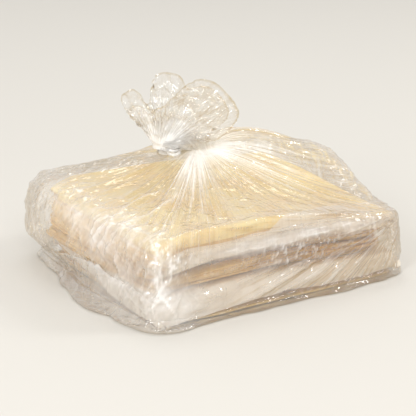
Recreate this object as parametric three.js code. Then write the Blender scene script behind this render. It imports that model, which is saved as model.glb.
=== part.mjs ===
// A stack of fresh lasagna sheets in a clear film bag that is gathered above the stack and knotted shut.
// The bag is shut and full, so it is one closed solid out to the film: the flat base and its loose skirt on
// the table, the puffed sides, the tent of film that is drawn up in pleats to the neck, the knot, and the
// fan-shaped frill of loose film above it.
// Millimetres, +Z up, +X along the stack's long side. The origin is the middle of the base of the whole box.
import * as THREE from "three";

// Driving dimensions
const STACK_LENGTH = 220;
const STACK_WIDTH = 186;
const STACK_HEIGHT = 64;
const KNOT_BACK = 28; // how far the knot stands behind the stack's middle
const KNOT_LEFT = 26; // and to the left of it
const KNOT_HEIGHT = 86; // underside of the knot above the table
const FRILL_LENGTH = 58; // longest lobe of loose film, from the knot to its edge
const FRILL_LEAN = 5; // how far the frill's edge leans to the right of the knot

// The film round the stack
const STACK_CORNER = 9; // corner radius, seen from above
const SHARPEST_CORNER = 4;
const BASE_INSET = 3;
const SKIRT_THICKNESS = 2.4;
const SKIRT_EDGE_ROUND = 0.8;
const TOP_INSET = 5; // from the side to the line where the film turns on to the top
const TENT_SAG = 1.7; // above 1 the film rises late on its way to the neck
const TENT_PUFF = { size: 9, toward: 95, width: 42 };
const TENT_PLEAT_DEPTH = 2.6;

// Where the film stands away from a plain box: size in mm, direction from +X and width in degrees
const SIDE_STANDOFF = 5;
const SIDE_PUFFS = [
  { size: 19, toward: 158, width: 27 }, // the bag is puffed out at the left end
  { size: 6, toward: 95, width: 34 },
  { size: 6, toward: 12, width: 26 },
  { size: 3, toward: 318, width: 20 },
];
const SKIRT_REACH = 6;
const SKIRT_FLAPS = [
  { size: 24, toward: 186, width: 24 }, // the widest flap of loose film lies on the table at the left
  { size: 6, toward: 270, width: 34 },
  { size: 5, toward: 20, width: 25 },
  { size: 8, toward: 122, width: 22 },
];
const EDGE_CLEARANCE = 3; // between the top sheet and the film at the top edge
const EDGE_RISES = [
  { size: 12, toward: 112, width: 45 }, // slack along the back
  { size: 17, toward: 3, width: 22 }, // slack above the right end
  { size: -14, toward: 322, width: 22 }, // the stack is pulled down at the front right corner
];

// The neck, the knot and the throat above it
const NECK_RADIUS = 11.5;
const KNOT_RADIUS = 15.5;
const THROAT_RADIUS = 8.5;
const KNOT_TALL = 17;
const KNOT_TWIST = 0.9; // radians that the pleats turn through the knot
const NECK_PLEAT_DEPTH = 0.1; // as a share of the radius
const KNOT_PLEAT_DEPTH = 0.07;

// The frill is a flat fan that faces the front left. Its directions are 0 to the right and 90 up.
const FAN_TURN = THREE.MathUtils.degToRad(-31);
const FAN_HALF_SPREAD = THREE.MathUtils.degToRad(74);
const FAN_HALF_THICKNESS = 9;
const FAN_PLEAT_DEPTH = 0.25; // as a share of the thickness
const SHORTEST_LOBE = 0.55; // as a share of FRILL_LENGTH
const FRONT_LOBES = [
  { size: 0.44, toward: 40, width: 24 },
  { size: 0.2, toward: 98, width: 9 },
  { size: 0.34, toward: 140, width: 13 },
];
const BACK_LOBES = [
  { size: 0.28, toward: 40, width: 17 },
  { size: 0.43, toward: 98, width: 14 },
  { size: 0.34, toward: 140, width: 13 },
];
const CREASE_DEPTH = 0.3; // how far the crease between the frill's two layers goes down from their edge
const CREASE_CLOSING = 0.55;
const CREASE_FLOOR = 0.25; // height of its lowest point above the knot, as a share of FRILL_LENGTH

// The mesh
const COLUMNS = 132;
const PLEATS = 22;
const TENT_SHARES = [0, 0.12, 0.26, 0.4, 0.54, 0.68, 0.8, 0.9];
const FRILL_SHARES = [0.18, 0.36, 0.54, 0.7, 0.85, 1];

const stackHalf = new THREE.Vector2(STACK_LENGTH / 2, STACK_WIDTH / 2);
const neck = new THREE.Vector3(-KNOT_LEFT, KNOT_BACK, KNOT_HEIGHT);

/** The size of a swelling at an angle in radians: full in its own direction, gone about two widths away. */
function swelling({ size, toward, width }, angle) {
  const centre = THREE.MathUtils.degToRad(toward);
  const away = Math.atan2(Math.sin(angle - centre), Math.cos(angle - centre));
  return size * Math.exp(-0.5 * (away / THREE.MathUtils.degToRad(width)) ** 2);
}

/** All of a list's swellings added up at one angle. */
function swellings(list, angle) {
  return list.reduce((sum, one) => sum + swelling(one, angle), 0);
}

/** A point on one rounded corner, quarter turns counted from +X. */
function turnCorner(t, x, y, corner, quarter) {
  const angle = ((quarter + t) * Math.PI) / 2;
  return [x + corner * Math.cos(angle), y + corner * Math.sin(angle)];
}

/** The point at share u of the way round a rectangle with rounded corners, starting at +X. */
function roundedOutline(u, half, corner) {
  const straightX = half.x - corner;
  const straightY = half.y - corner;
  const arc = (Math.PI / 2) * corner;
  const pieces = [
    [straightY, (t) => [half.x, t * straightY]],
    [arc, (t) => turnCorner(t, straightX, straightY, corner, 0)],
    [2 * straightX, (t) => [straightX * (1 - 2 * t), half.y]],
    [arc, (t) => turnCorner(t, -straightX, straightY, corner, 1)],
    [2 * straightY, (t) => [-half.x, straightY * (1 - 2 * t)]],
    [arc, (t) => turnCorner(t, -straightX, -straightY, corner, 2)],
    [2 * straightX, (t) => [straightX * (2 * t - 1), -half.y]],
    [arc, (t) => turnCorner(t, straightX, -straightY, corner, 3)],
    [straightY, (t) => [half.x, straightY * (t - 1)]],
  ];
  let along = u * pieces.reduce((sum, [length]) => sum + length, 0);
  for (const [length, place] of pieces) {
    if (along <= length) return new THREE.Vector2(...place(along / length));
    along -= length;
  }
  return new THREE.Vector2(half.x, 0);
}

/** The stack's outline moved outwards by offset, at column share u. */
function outline(u, offset) {
  const half = new THREE.Vector2(stackHalf.x + offset, stackHalf.y + offset);
  return roundedOutline(u, half, Math.max(STACK_CORNER + offset, SHARPEST_CORNER));
}

/** How far the film stands off the stack at half height. */
function sideStandoff(angle) {
  return SIDE_STANDOFF + swellings(SIDE_PUFFS, angle);
}

/** How far the loose skirt of film lies out on the table. */
function skirtReach(angle) {
  return SKIRT_REACH + swellings(SKIRT_FLAPS, angle);
}

/** Height of the film where it turns from the side on to the top. */
function edgeHeight(angle) {
  return STACK_HEIGHT + EDGE_CLEARANCE + swellings(EDGE_RISES, angle);
}

/** One ring round the stack: its outline moved out by offset(angle), at height(angle). */
function ringRoundStack(offset, height) {
  return (u) => {
    const plain = outline(u, 0);
    const angle = Math.atan2(plain.y, plain.x);
    const place = outline(u, offset(angle));
    return new THREE.Vector3(place.x, place.y, height(angle));
  };
}

/** Direction of column u as seen from the neck. */
function aroundNeck(u) {
  const edge = outline(u, 0);
  return Math.atan2(edge.y - neck.y, edge.x - neck.x);
}

/** Uneven pleats: -1 to 1 round the neck. */
function pleat(u) {
  const turn = 2 * Math.PI * u;
  return Math.cos(PLEATS * turn + 1.1 * Math.sin(3 * turn) + 0.6 * Math.sin(7 * turn + 1));
}

/** The tent of film between the top edge (share 0) and the neck (share 1), with its pleats. */
function tentRing(share) {
  const top = ringRoundStack(() => -TOP_INSET, edgeHeight);
  return (u) => {
    const edge = top(u);
    const around = aroundNeck(u);
    const foot = new THREE.Vector3(
      neck.x + NECK_RADIUS * Math.cos(around),
      neck.y + NECK_RADIUS * Math.sin(around),
      neck.z,
    );
    const place = edge.clone().lerp(foot, share);
    const rise = share ** TENT_SAG * (neck.z - edge.z) + edge.z;
    const slack = 4 * share * (1 - share); // 1 half way, 0 at the edge and at the neck
    const depth = TENT_PLEAT_DEPTH * share ** 0.6 * (1 - share ** 6); // the pleats fade at both ends
    place.z = rise + slack * swelling(TENT_PUFF, around) + depth * pleat(u);
    return place;
  };
}

/** A ring of the neck or knot: radius and height above the neck, its pleats turned by the twist. */
function neckRing(radius, height, twist, depth) {
  return (u) => {
    const around = aroundNeck(u) + twist;
    const reach = radius * (1 + depth * pleat(u));
    return new THREE.Vector3(
      neck.x + reach * Math.cos(around),
      neck.y + reach * Math.sin(around),
      neck.z + height,
    );
  };
}

/** The frill at a share of the way from the knot's top (0) to its edge (1). */
function frillRing(share) {
  return (u) => {
    const around = aroundNeck(u) + KNOT_TWIST - FAN_TURN;
    const across = Math.cos(around); // 1 at the fan's right edge, -1 at its left
    const through = Math.sin(around); // below 0 on the fan's front layer
    const direction = Math.PI / 2 - FAN_HALF_SPREAD * across;
    const lobes = through < 0 ? FRONT_LOBES : BACK_LOBES;
    const reach = share * FRILL_LENGTH * (SHORTEST_LOBE + swellings(lobes, direction));
    const thickness = FAN_HALF_THICKNESS * (1 + FAN_PLEAT_DEPTH * pleat(u) * share);
    const round = THROAT_RADIUS * (1 - share);
    const side = reach * Math.cos(direction) + round * across + share * FRILL_LEAN;
    const depth = (share * thickness + round) * through;
    return new THREE.Vector3(
      neck.x + side * Math.cos(FAN_TURN) - depth * Math.sin(FAN_TURN),
      neck.y + side * Math.sin(FAN_TURN) + depth * Math.cos(FAN_TURN),
      neck.z + KNOT_TALL + reach * Math.sin(direction),
    );
  };
}

/** Every ring from the base up to the frill's edge, in order. */
function bagRings() {
  const flat = (value) => () => value;
  const skirtAndSides = [
    ringRoundStack(flat(-BASE_INSET), flat(0)),
    ringRoundStack(skirtReach, flat(0)),
    ringRoundStack((a) => skirtReach(a) + SKIRT_EDGE_ROUND, flat(SKIRT_THICKNESS)),
    ringRoundStack((a) => 2 + 0.55 * skirtReach(a), flat(2 * SKIRT_THICKNESS)),
    ringRoundStack((a) => 2 + 0.6 * sideStandoff(a), flat(0.17 * STACK_HEIGHT)),
    ringRoundStack(sideStandoff, flat(0.45 * STACK_HEIGHT)),
    ringRoundStack((a) => 0.9 * sideStandoff(a), (a) => 0.72 * edgeHeight(a)),
    ringRoundStack((a) => 0.5 * sideStandoff(a), (a) => 0.93 * edgeHeight(a)),
  ];
  const knot = [
    neckRing(NECK_RADIUS, 0, 0, NECK_PLEAT_DEPTH),
    neckRing(KNOT_RADIUS, 0.3 * KNOT_TALL, 0.3 * KNOT_TWIST, KNOT_PLEAT_DEPTH),
    neckRing(0.97 * KNOT_RADIUS, 0.6 * KNOT_TALL, 0.7 * KNOT_TWIST, KNOT_PLEAT_DEPTH),
    neckRing(THROAT_RADIUS, KNOT_TALL, KNOT_TWIST, 0),
  ];
  return [...skirtAndSides, ...TENT_SHARES.map(tentRing), ...knot, ...FRILL_SHARES.map(frillRing)];
}

/** A point just inside the frill's edge, on the way down into the crease between its two layers. */
function frillCrest(edge) {
  const throat = new THREE.Vector3(neck.x, neck.y, neck.z + KNOT_TALL);
  const inner = edge.clone().lerp(throat, CREASE_DEPTH);
  const across = new THREE.Vector3(-Math.sin(FAN_TURN), Math.cos(FAN_TURN), 0);
  const depth = inner.clone().sub(throat).dot(across);
  return inner.addScaledVector(across, -CREASE_CLOSING * depth);
}

/** The lowest point of the crease, under the middle of its crest. */
function creaseFloor(crest) {
  const middle = crest.reduce((sum, point) => sum.add(point), new THREE.Vector3());
  middle.divideScalar(crest.length);
  middle.z = neck.z + KNOT_TALL + CREASE_FLOOR * FRILL_LENGTH;
  return middle;
}

/** Joins the rings into one closed mesh, with a fan of faces under the stack and another in the crease. */
function skin(rings) {
  const rows = rings.map((ring) => Array.from({ length: COLUMNS }, (_, column) => ring(column / COLUMNS)));
  rows.push(rows.at(-1).map(frillCrest));
  const points = rows.flat();
  const base = points.push(new THREE.Vector3(0, 0, 0)) - 1;
  const crease = points.push(creaseFloor(rows.at(-1))) - 1;
  const last = (rows.length - 1) * COLUMNS;
  const faces = [];
  for (let column = 0; column < COLUMNS; column++) {
    const next = (column + 1) % COLUMNS;
    faces.push(base, next, column);
    for (let low = 0; low < last; low += COLUMNS) {
      const high = low + COLUMNS;
      faces.push(low + column, low + next, high + next);
      faces.push(low + column, high + next, high + column);
    }
    faces.push(last + column, last + next, crease);
  }
  return { points, faces };
}

/** The bag with its contents as one closed geometry, its box centred on the origin and standing on z = 0. */
function filledBag() {
  const { points, faces } = skin(bagRings());
  const geometry = new THREE.BufferGeometry();
  geometry.setAttribute("position", new THREE.Float32BufferAttribute(points.flatMap((p) => p.toArray()), 3));
  geometry.setIndex(faces);
  geometry.computeBoundingBox();
  const middle = geometry.boundingBox.getCenter(new THREE.Vector3());
  geometry.translate(-middle.x, -middle.y, 0);
  geometry.computeVertexNormals();
  return geometry;
}

const clearFilm = new THREE.MeshStandardMaterial({ color: 0xf1e7cf, roughness: 0.25, metalness: 0 });
const bag = new THREE.Mesh(filledBag(), clearFilm);
bag.name = "filled_bag";

const part = new THREE.Group();
part.add(bag);

export default part;
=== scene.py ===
"""A stack of fresh lasagna sheets in a clear, crinkled film bag that is knotted above the stack.

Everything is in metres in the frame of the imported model: +X along the stack's long side, +Y to the back
and +Z up.
"""

import logging
import math
from dataclasses import dataclass
from enum import Enum
from typing import Callable

import bpy
import numpy as np
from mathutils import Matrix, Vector


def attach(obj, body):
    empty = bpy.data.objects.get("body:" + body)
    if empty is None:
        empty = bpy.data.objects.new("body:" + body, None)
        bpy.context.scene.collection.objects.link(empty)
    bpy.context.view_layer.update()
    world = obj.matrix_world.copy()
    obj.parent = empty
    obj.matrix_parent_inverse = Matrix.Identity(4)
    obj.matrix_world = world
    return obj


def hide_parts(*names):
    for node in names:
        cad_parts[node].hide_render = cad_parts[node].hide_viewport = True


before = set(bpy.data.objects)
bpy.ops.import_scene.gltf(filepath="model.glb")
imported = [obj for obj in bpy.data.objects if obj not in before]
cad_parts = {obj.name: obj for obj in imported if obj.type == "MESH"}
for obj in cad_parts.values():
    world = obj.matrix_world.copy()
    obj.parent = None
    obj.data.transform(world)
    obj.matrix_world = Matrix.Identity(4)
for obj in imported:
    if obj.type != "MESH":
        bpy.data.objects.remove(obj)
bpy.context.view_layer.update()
log = logging.getLogger("lasagna_bag")

Array = np.ndarray
Triple = tuple[float, float, float]
Colour = tuple[float, float, float, float]

TABLE_GAP = 0.0004
FLAT_FILM = 0.0003


class Slot(Enum):
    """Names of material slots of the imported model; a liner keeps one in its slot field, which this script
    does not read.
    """

    PASTA = "pasta"
    LINER = "liner"


class Look(Enum):
    """Mesh attributes of the film that its finish reads."""

    VEIL = "veil"
    SHADE = "shade"
    RAYS = "rays"
    PULL = "pull"


# ---------------------------------------------------------------------------------------------------------
# Shapes shared by the pieces
# ---------------------------------------------------------------------------------------------------------


@dataclass(frozen=True)
class Swelling:
    """A smooth rise: its size in metres, its direction from +X and its width in degrees."""

    size: float
    toward: float
    width: float

    def at(self, angle: Array, power: float = 2.0) -> Array:
        """The swelling's size at each angle.

        Args:
            angle: Directions in radians.
            power: 2 gives a bell, more gives a flatter top with steeper flanks.

        Returns:
            Sizes in metres, full in the swelling's own direction.
        """
        centre = math.radians(self.toward)
        away = np.abs(np.arctan2(np.sin(angle - centre), np.cos(angle - centre)))
        return self.size * np.exp(-0.5 * (away / math.radians(self.width)) ** power)


def swell(swellings: tuple[Swelling, ...], angle: Array, power: float = 2.0) -> Array:
    """All the swellings of a tuple added up at each angle.

    Args:
        swellings: The swellings.
        angle: Directions in radians.
        power: As for Swelling.at.

    Returns:
        The sum in metres at each angle.
    """
    return sum(one.at(angle, power) for one in swellings)


def smoothstep(low: float, high: float, value: Array) -> Array:
    """0 below low, 1 above high and an even S between them.

    Args:
        low: Where the step starts.
        high: Where it ends.
        value: The values to map.

    Returns:
        Numbers from 0 to 1.
    """
    share = np.clip((value - low) / (high - low), 0.0, 1.0)
    return share * share * (3.0 - 2.0 * share)


def lattice_noise(points: Array, scale: float, seed: int) -> Array:
    """Smooth random values on a cubic lattice.

    Args:
        points: Places in metres, with x, y and z along the last axis.
        scale: The lattice's spacing in metres.
        seed: Which pattern.

    Returns:
        One value from -1 to 1 for each place.
    """
    place = points.reshape(-1, 3) / scale + 100.0
    cell = np.floor(place).astype(np.int64)
    part = place - cell
    part = part * part * (3.0 - 2.0 * part)
    total = np.zeros(len(place))
    for corner in np.ndindex(2, 2, 2):
        step = np.array(corner)
        mixed = (cell + step) * np.array([73856093, 19349663, 83492791])
        code = (mixed[:, 0] ^ mixed[:, 1] ^ mixed[:, 2] ^ (seed * 2654435761)) & 0xFFFFFFFF
        code = ((code ^ (code >> 13)) * 1274126177) & 0xFFFFFFFF
        value = (code ^ (code >> 16)) / 2147483648.0 - 1.0
        total += value * np.prod(np.where(step == 1, part, 1.0 - part), axis=1)
    return total.reshape(points.shape[:-1])


def crease_noise(points: Array, scale: float, seed: int, waves: int = 5) -> Array:
    """The height of crumpled film: flat facets that meet in sharp creases.

    Args:
        points: Places in metres, with x, y and z along the last axis.
        scale: The usual distance between two creases, in metres.
        seed: Which pattern.
        waves: How many families of creases are laid over each other.

    Returns:
        One height for each place, roughly from -1 to 1.
    """
    random = np.random.default_rng(seed)
    flat = points.reshape(-1, 3)
    warp = np.stack([lattice_noise(flat, 2.5 * scale, seed + axis) for axis in (1, 2, 3)], axis=1)
    warped = flat + 0.9 * scale * warp
    total = np.zeros(len(flat))
    for wave in range(waves):
        direction = random.normal(size=3)
        direction /= np.linalg.norm(direction)
        length = scale * random.uniform(1.2, 2.6)
        phase = warped @ direction / length + random.uniform()
        ridge = 4.0 * np.abs(phase - np.floor(phase + 0.5)) - 1.0
        total += ridge * (0.5 + 0.5 * lattice_noise(flat, 3.0 * scale, seed + 11 * wave))
    return (total / math.sqrt(waves)).reshape(points.shape[:-1])


def crumple(points: Array, cell: float, seed: int, line: float, stretch: float = 1.0) -> Array:
    """Straight ridges between the facets of crumpled film: the borders of scattered cells.

    Args:
        points: Places in metres, with x, y and z along the last axis.
        cell: Size of a facet in metres.
        seed: Which pattern.
        line: How broad a ridge is, as a share of a facet.
        stretch: Below 1 the facets are taller than wide, above 1 they are flatter.

    Returns:
        For each place 1 on a ridge and 0 inside a facet.
    """
    scaled = points.reshape(-1, 3) * np.array([1.0, 1.0, stretch]) / cell
    base = np.floor(scaled)
    nearest = np.full(len(scaled), 9.0)
    second = np.full(len(scaled), 9.0)
    scatter = np.array([[127.1, 269.5, 113.5], [311.7, 183.3, 271.9], [74.7, 246.1, 124.6]])
    for step in np.ndindex(3, 3, 3):
        corner = base + np.array(step) - 1
        seat = corner + np.modf(np.abs(np.sin(corner @ scatter + 17.3 * seed)) * 43758.5453)[0]
        away = np.linalg.norm(scaled - seat, axis=1)
        second = np.minimum(second, np.maximum(nearest, away))
        nearest = np.minimum(nearest, away)
    return np.exp(-(((second - nearest) / line) ** 2)).reshape(points.shape[:-1])


def line_noise(x: Array, scale: float, seed: int) -> Array:
    """Smooth random values along a line.

    Args:
        x: Places along the line in metres.
        scale: The distance between two features in metres.
        seed: Which pattern.

    Returns:
        One value from -1 to 1 for each place.
    """
    return lattice_noise(np.stack([x, np.zeros_like(x), np.zeros_like(x)], axis=1), scale, seed)


def hermite(around: tuple[Array, Array, Array, Array], part: Array | float) -> Array:
    """A smooth curve through four values in a row, between the second and the third.

    Args:
        around: The four values.
        part: 0 at the second value, 1 at the third.

    Returns:
        The values on the curve.
    """
    before, here, after, later = around
    slope_here, slope_after = (after - before) / 2, (later - here) / 2
    return (
        (2 * part**3 - 3 * part**2 + 1) * here
        + (part**3 - 2 * part**2 + part) * slope_here
        + (3 * part**2 - 2 * part**3) * after
        + (part**3 - part**2) * slope_after
    )


def select_only(piece: bpy.types.Object) -> None:
    """Selects one object and makes it the active one.

    Args:
        piece: The object.
    """
    bpy.ops.object.select_all(action="DESELECT")
    piece.select_set(True)
    bpy.context.view_layer.objects.active = piece


def apply_modifiers(piece: bpy.types.Object) -> None:
    """Applies every modifier of a piece, in order.

    Args:
        piece: The object.
    """
    select_only(piece)
    for modifier in list(piece.modifiers):
        bpy.ops.object.modifier_apply(modifier=modifier.name)


def vertex_array(piece: bpy.types.Object) -> Array:
    """A piece's vertices.

    Args:
        piece: The object.

    Returns:
        One row of x, y and z for each vertex.
    """
    flat = np.empty(len(piece.data.vertices) * 3)
    piece.data.vertices.foreach_get("co", flat)
    return flat.reshape(-1, 3)


def set_vertices(piece: bpy.types.Object, points: Array) -> None:
    """Moves a piece's vertices.

    Args:
        piece: The object.
        points: One row for each vertex.
    """
    piece.data.vertices.foreach_set("co", points.ravel())
    piece.data.update()


def new_sheet(name: str, columns: int, rows: int, size: float) -> bpy.types.Object:
    """Adds a level square grid, the start of every sheet.

    Args:
        name: The new object's name.
        columns: How many squares it has along X.
        rows: How many squares it has along Y.
        size: Its length and width.

    Returns:
        The grid, active and alone in the selection.
    """
    bpy.ops.object.select_all(action="DESELECT")
    bpy.ops.mesh.primitive_grid_add(x_subdivisions=columns, y_subdivisions=rows, size=size)
    sheet = bpy.context.active_object
    sheet.name = name
    return sheet


def thicken(piece: bpy.types.Object, thickness: float) -> None:
    """Gives a sheet a live Solidify modifier that grows to both sides.

    Args:
        piece: The sheet.
        thickness: Its thickness.
    """
    solid = piece.modifiers.new("thickness", "SOLIDIFY")
    solid.thickness = thickness
    solid.offset = 0.0


def dress(piece: bpy.types.Object, finish: bpy.types.Material, smooth_below: float) -> None:
    """Gives a piece its material and shades its soft edges smooth.

    Args:
        piece: The object.
        finish: The material.
        smooth_below: The largest angle in degrees between faces that is shaded smooth.
    """
    piece.data.materials.append(finish)
    select_only(piece)
    bpy.ops.object.shade_smooth_by_angle(angle=math.radians(smooth_below))


# ---------------------------------------------------------------------------------------------------------
# A small cloth solver for sheets that are grids of rows and columns
# ---------------------------------------------------------------------------------------------------------


@dataclass
class GridCloth:
    """Film or paper as a grid of points that keeps its lengths, buckles, and rests on what lies under it."""

    places: Array
    closed: bool
    across_slack: Array | float = 1.0
    along_slack: Array | float = 1.0
    home: Array | None = None
    hold: Array | float = 0.0
    bend: float = 0.08
    gravity: float = 0.0

    def __post_init__(self) -> None:
        """Measures the cut lengths of the sheet and sorts its edges into groups that share no point."""
        self.rows, self.columns = self.places.shape[:2]
        self.flat = self.places.reshape(-1, 3).copy()
        self.target = None if self.home is None else self.home.reshape(-1, 3).copy()
        self.pull = np.broadcast_to(self.hold, (self.rows, self.columns)).reshape(-1, 1).copy()
        across = np.broadcast_to(self.across_slack, (self.rows, self.columns))
        along = np.broadcast_to(self.along_slack, (self.rows, self.columns))
        self.groups = []
        for rows, columns, stiffness in ((0, 1, 0.9), (1, 0, 0.9), (1, 1, 0.35), (1, -1, 0.35)):
            slack = np.sqrt((across * columns) ** 2 + (along * rows) ** 2) / math.hypot(rows, columns)
            self._add_edges(rows, columns, slack, stiffness, False)
        self._add_edges(0, 2, across, self.bend, True)
        self._add_edges(2, 0, along, self.bend, True)

    def _add_edges(self, rows: int, columns: int, slack: Array, stiffness: float, only_push: bool) -> None:
        """Adds the edges between points a fixed step apart.

        Args:
            rows: The step in rows.
            columns: The step in columns.
            slack: How much longer than the drawn shape the sheet is cut, for each point.
            stiffness: The share of an error that one pass takes away.
            only_push: Whether the edges only resist being shortened, as bending does.
        """
        number = np.arange(self.rows * self.columns).reshape(self.rows, self.columns)
        row, column = np.indices((self.rows, self.columns))
        end_row, end_column = row + rows, column + columns
        inside = end_row < self.rows
        if self.closed:
            end_column = end_column % self.columns
        else:
            inside &= (end_column >= 0) & (end_column < self.columns)
        counted = row if rows else column
        step = max(rows, abs(columns)) if rows != 1 else 1
        for half in (0, 1):
            chosen = inside & ((counted // step) % 2 == half)
            start = number[chosen]
            end = number[end_row[chosen], end_column[chosen]]
            length = np.linalg.norm(self.flat[end] - self.flat[start], axis=1) * slack[chosen]
            self.groups.append((start, end, np.maximum(length, 1e-5), stiffness, only_push))

    def relax(self, steps: int, rest_on: Callable[[Array], None], damping: float = 0.9) -> Array:
        """Lets the sheet come to rest.

        Args:
            steps: How many steps are made.
            rest_on: Moves points that are inside something to its surface.
            damping: The share of the movement that is kept from step to step.

        Returns:
            The rested sheet as rows by columns by 3.
        """
        here = self.flat
        before = here.copy()
        for _ in range(steps):
            moved = (here - before) * damping
            moved[:, 2] -= self.gravity
            before = here.copy()
            here = here + moved
            for start, end, length, stiffness, only_push in self.groups:
                gap = here[end] - here[start]
                size = np.sqrt(np.einsum("ij,ij->i", gap, gap)) + 1e-12
                error = (size - length) / size
                if only_push:
                    error = np.minimum(error, 0.0)
                change = gap * (0.5 * stiffness * error)[:, None]
                here[start] += change
                here[end] -= change
            if self.target is not None:
                here += self.pull * (self.target - here)
            rest_on(here)
        self.flat = here
        return here.reshape(self.rows, self.columns, 3)


def refine_grid(grid: Array, rows: int, columns: int, closed: bool) -> Array:
    """Draws a smooth grid with more rows and columns through a coarse one.

    Args:
        grid: The coarse grid, rows by columns by values.
        rows: How many steps each row gap becomes.
        columns: How many steps each column gap becomes.
        closed: Whether the columns run round.

    Returns:
        The fine grid.
    """
    fine = refine_axis(grid, rows, False)
    return np.swapaxes(refine_axis(np.swapaxes(fine, 0, 1), columns, closed), 0, 1)


def refine_axis(grid: Array, steps: int, closed: bool) -> Array:
    """Interpolates smoothly along the first axis.

    Args:
        grid: Values with the axis first.
        steps: How many steps each gap becomes.
        closed: Whether the axis runs round.

    Returns:
        The finer values.
    """
    count = len(grid)
    last = count - 1 if closed else count - 2
    places = np.arange(count * steps if closed else (count - 1) * steps + 1) / steps
    low = np.minimum(np.floor(places).astype(int), last)
    part = (places - low).reshape((-1,) + (1,) * (grid.ndim - 1))
    around = [low - 1, low, low + 1, low + 2]
    if closed:
        around = [index % count for index in around]
    else:
        around = [np.clip(index, 0, count - 1) for index in around]
    return hermite(tuple(grid[index] for index in around), part)


def loft(rings: list[Array], rows: list[int]) -> tuple[Array, Array]:
    """Draws a smooth grid through rings of points.

    Args:
        rings: The rings, one place for each column.
        rows: For each ring, how many rows of the grid lead to the next.

    Returns:
        The places as rows by columns by 3, and for each row where it is among the rings.
    """
    keys = np.array(rings)
    last = len(rings) - 1
    places, belongs = [], []
    for index in range(last):
        around = (keys[max(index - 1, 0)], keys[index], keys[index + 1], keys[min(index + 2, last)])
        for step in range(rows[index]):
            part = step / rows[index]
            places.append(hermite(around, part))
            belongs.append(index + part)
    return np.array(places + [keys[last]]), np.array(belongs + [float(last)])


def grid_normals(places: Array, closed: bool) -> Array:
    """The unit normals of a grid of points.

    Args:
        places: Rows by columns by 3.
        closed: Whether the columns run round.

    Returns:
        Rows by columns by 3.
    """
    along_rows = np.gradient(places, axis=0)
    if closed:
        along_columns = (np.roll(places, -1, axis=1) - np.roll(places, 1, axis=1)) / 2
    else:
        along_columns = np.gradient(places, axis=1)
    normals = np.cross(along_columns, along_rows)
    return normals / (np.linalg.norm(normals, axis=2, keepdims=True) + 1e-12)


# ---------------------------------------------------------------------------------------------------------
# The stack's plan, which the sheets, the liners and the film all follow
# ---------------------------------------------------------------------------------------------------------


@dataclass(frozen=True)
class Block:
    """An upright block with rounded corners that keeps the film off a part of the stack."""

    half_length: float
    half_width: float
    height: float
    rounding: float = 0.006

    def push_out(self, points: Array, top: Array) -> None:
        """Moves points that are inside the block to its top or its nearest side.

        Args:
            points: Places relative to the stack's centre, one row each, changed in place.
            top: The block's height at each point, after the stack's slump.
        """
        x, y, z = points.T
        off_x = np.abs(x) - self.half_length + self.rounding
        off_y = np.abs(y) - self.half_width + self.rounding
        beyond = np.hypot(np.maximum(off_x, 0), np.maximum(off_y, 0))
        outside = beyond + np.minimum(np.maximum(off_x, off_y), 0) - self.rounding
        inside = (outside < 0) & (z < top) & (z > 0.0009)
        upward = inside & (z - top > outside)
        z[upward] = top[upward]
        sideways = inside & ~upward
        corner = (off_x > 0) & (off_y > 0)
        step_x = np.where(corner, off_x, np.where(off_x > off_y, 1.0, 0.0))
        step_y = np.where(corner, off_y, np.where(off_x > off_y, 0.0, 1.0))
        size = np.hypot(step_x, step_y) + 1e-12
        x[sideways] -= (outside * step_x / size * np.sign(x))[sideways]
        y[sideways] -= (outside * step_y / size * np.sign(y))[sideways]


@dataclass(frozen=True)
class StackPlan:
    """Where the stack stands in the frame, and how it slumps."""

    centre_x: float = 0.0097
    centre_y: float = -0.0026
    length: float = 0.220
    width: float = 0.186
    height: float = 0.064
    corner: float = 0.009
    slump: float = 0.23
    left_droop: float = 0.16
    droops_past_x: float = 0.104
    droops_past_y: float = 0.089
    droop_slope: float = 0.5
    droops_above: float = 0.03
    foot_block: Block = Block(0.1120, 0.1000, 0.0160)
    main_block: Block = Block(0.1105, 0.0952, 0.0694)

    def slumped_share(self, x: Array, y: Array, z: Array) -> Array:
        """What is left of a height of the level stack after it has slumped.

        Args:
            x: Places along the stack, from its centre.
            y: Places across the stack, from its centre.
            z: Heights in the level stack.

        Returns:
            Shares below 1 towards the front right corner and past the left end.
        """
        right = smoothstep(-0.02, 0.11, x)
        front = 0.4 + 0.6 * smoothstep(0.07, -0.09, y)
        left = smoothstep(-0.085, -0.125, x) * smoothstep(0.0, self.height, z)
        return 1.0 - self.slump * right * front - self.left_droop * left

    def settle(self, points: Array) -> Array:
        """Presses points of a level stack down to where the slumped stack has them.

        Args:
            points: Places relative to the stack's centre, one row each.

        Returns:
            The same places in the frame.
        """
        x, y, z = points.T
        past_x = np.maximum(np.abs(x) - self.droops_past_x, 0.0)
        past_y = np.maximum(np.abs(y) - self.droops_past_y, 0.0)
        droop = np.where(z > self.droops_above, self.droop_slope * np.hypot(past_x, past_y), 0.0)
        height = z * self.slumped_share(x, y, z) - droop
        return np.stack([x + self.centre_x, y + self.centre_y, height], axis=1)

    def slumped_top(self, block: Block, x: Array, y: Array) -> Array:
        """How high a block reaches after the stack has slumped.

        Args:
            block: The block.
            x: Places along the stack, from its centre.
            y: Places across the stack, from its centre.

        Returns:
            The height at each place.
        """
        return block.height * self.slumped_share(x, y, np.full(len(x), block.height))

    def keep_outside(self, points: Array) -> None:
        """Moves points that are in the stack or under the table to the nearest surface.

        Args:
            points: Places relative to the stack's centre, one row each, changed in place.
        """
        np.maximum(points[:, 2], TABLE_GAP, out=points[:, 2])
        for block in (self.foot_block, self.main_block):
            block.push_out(points, self.slumped_top(block, *points[:, :2].T))


# ---------------------------------------------------------------------------------------------------------
# Finishes
# ---------------------------------------------------------------------------------------------------------


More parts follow.
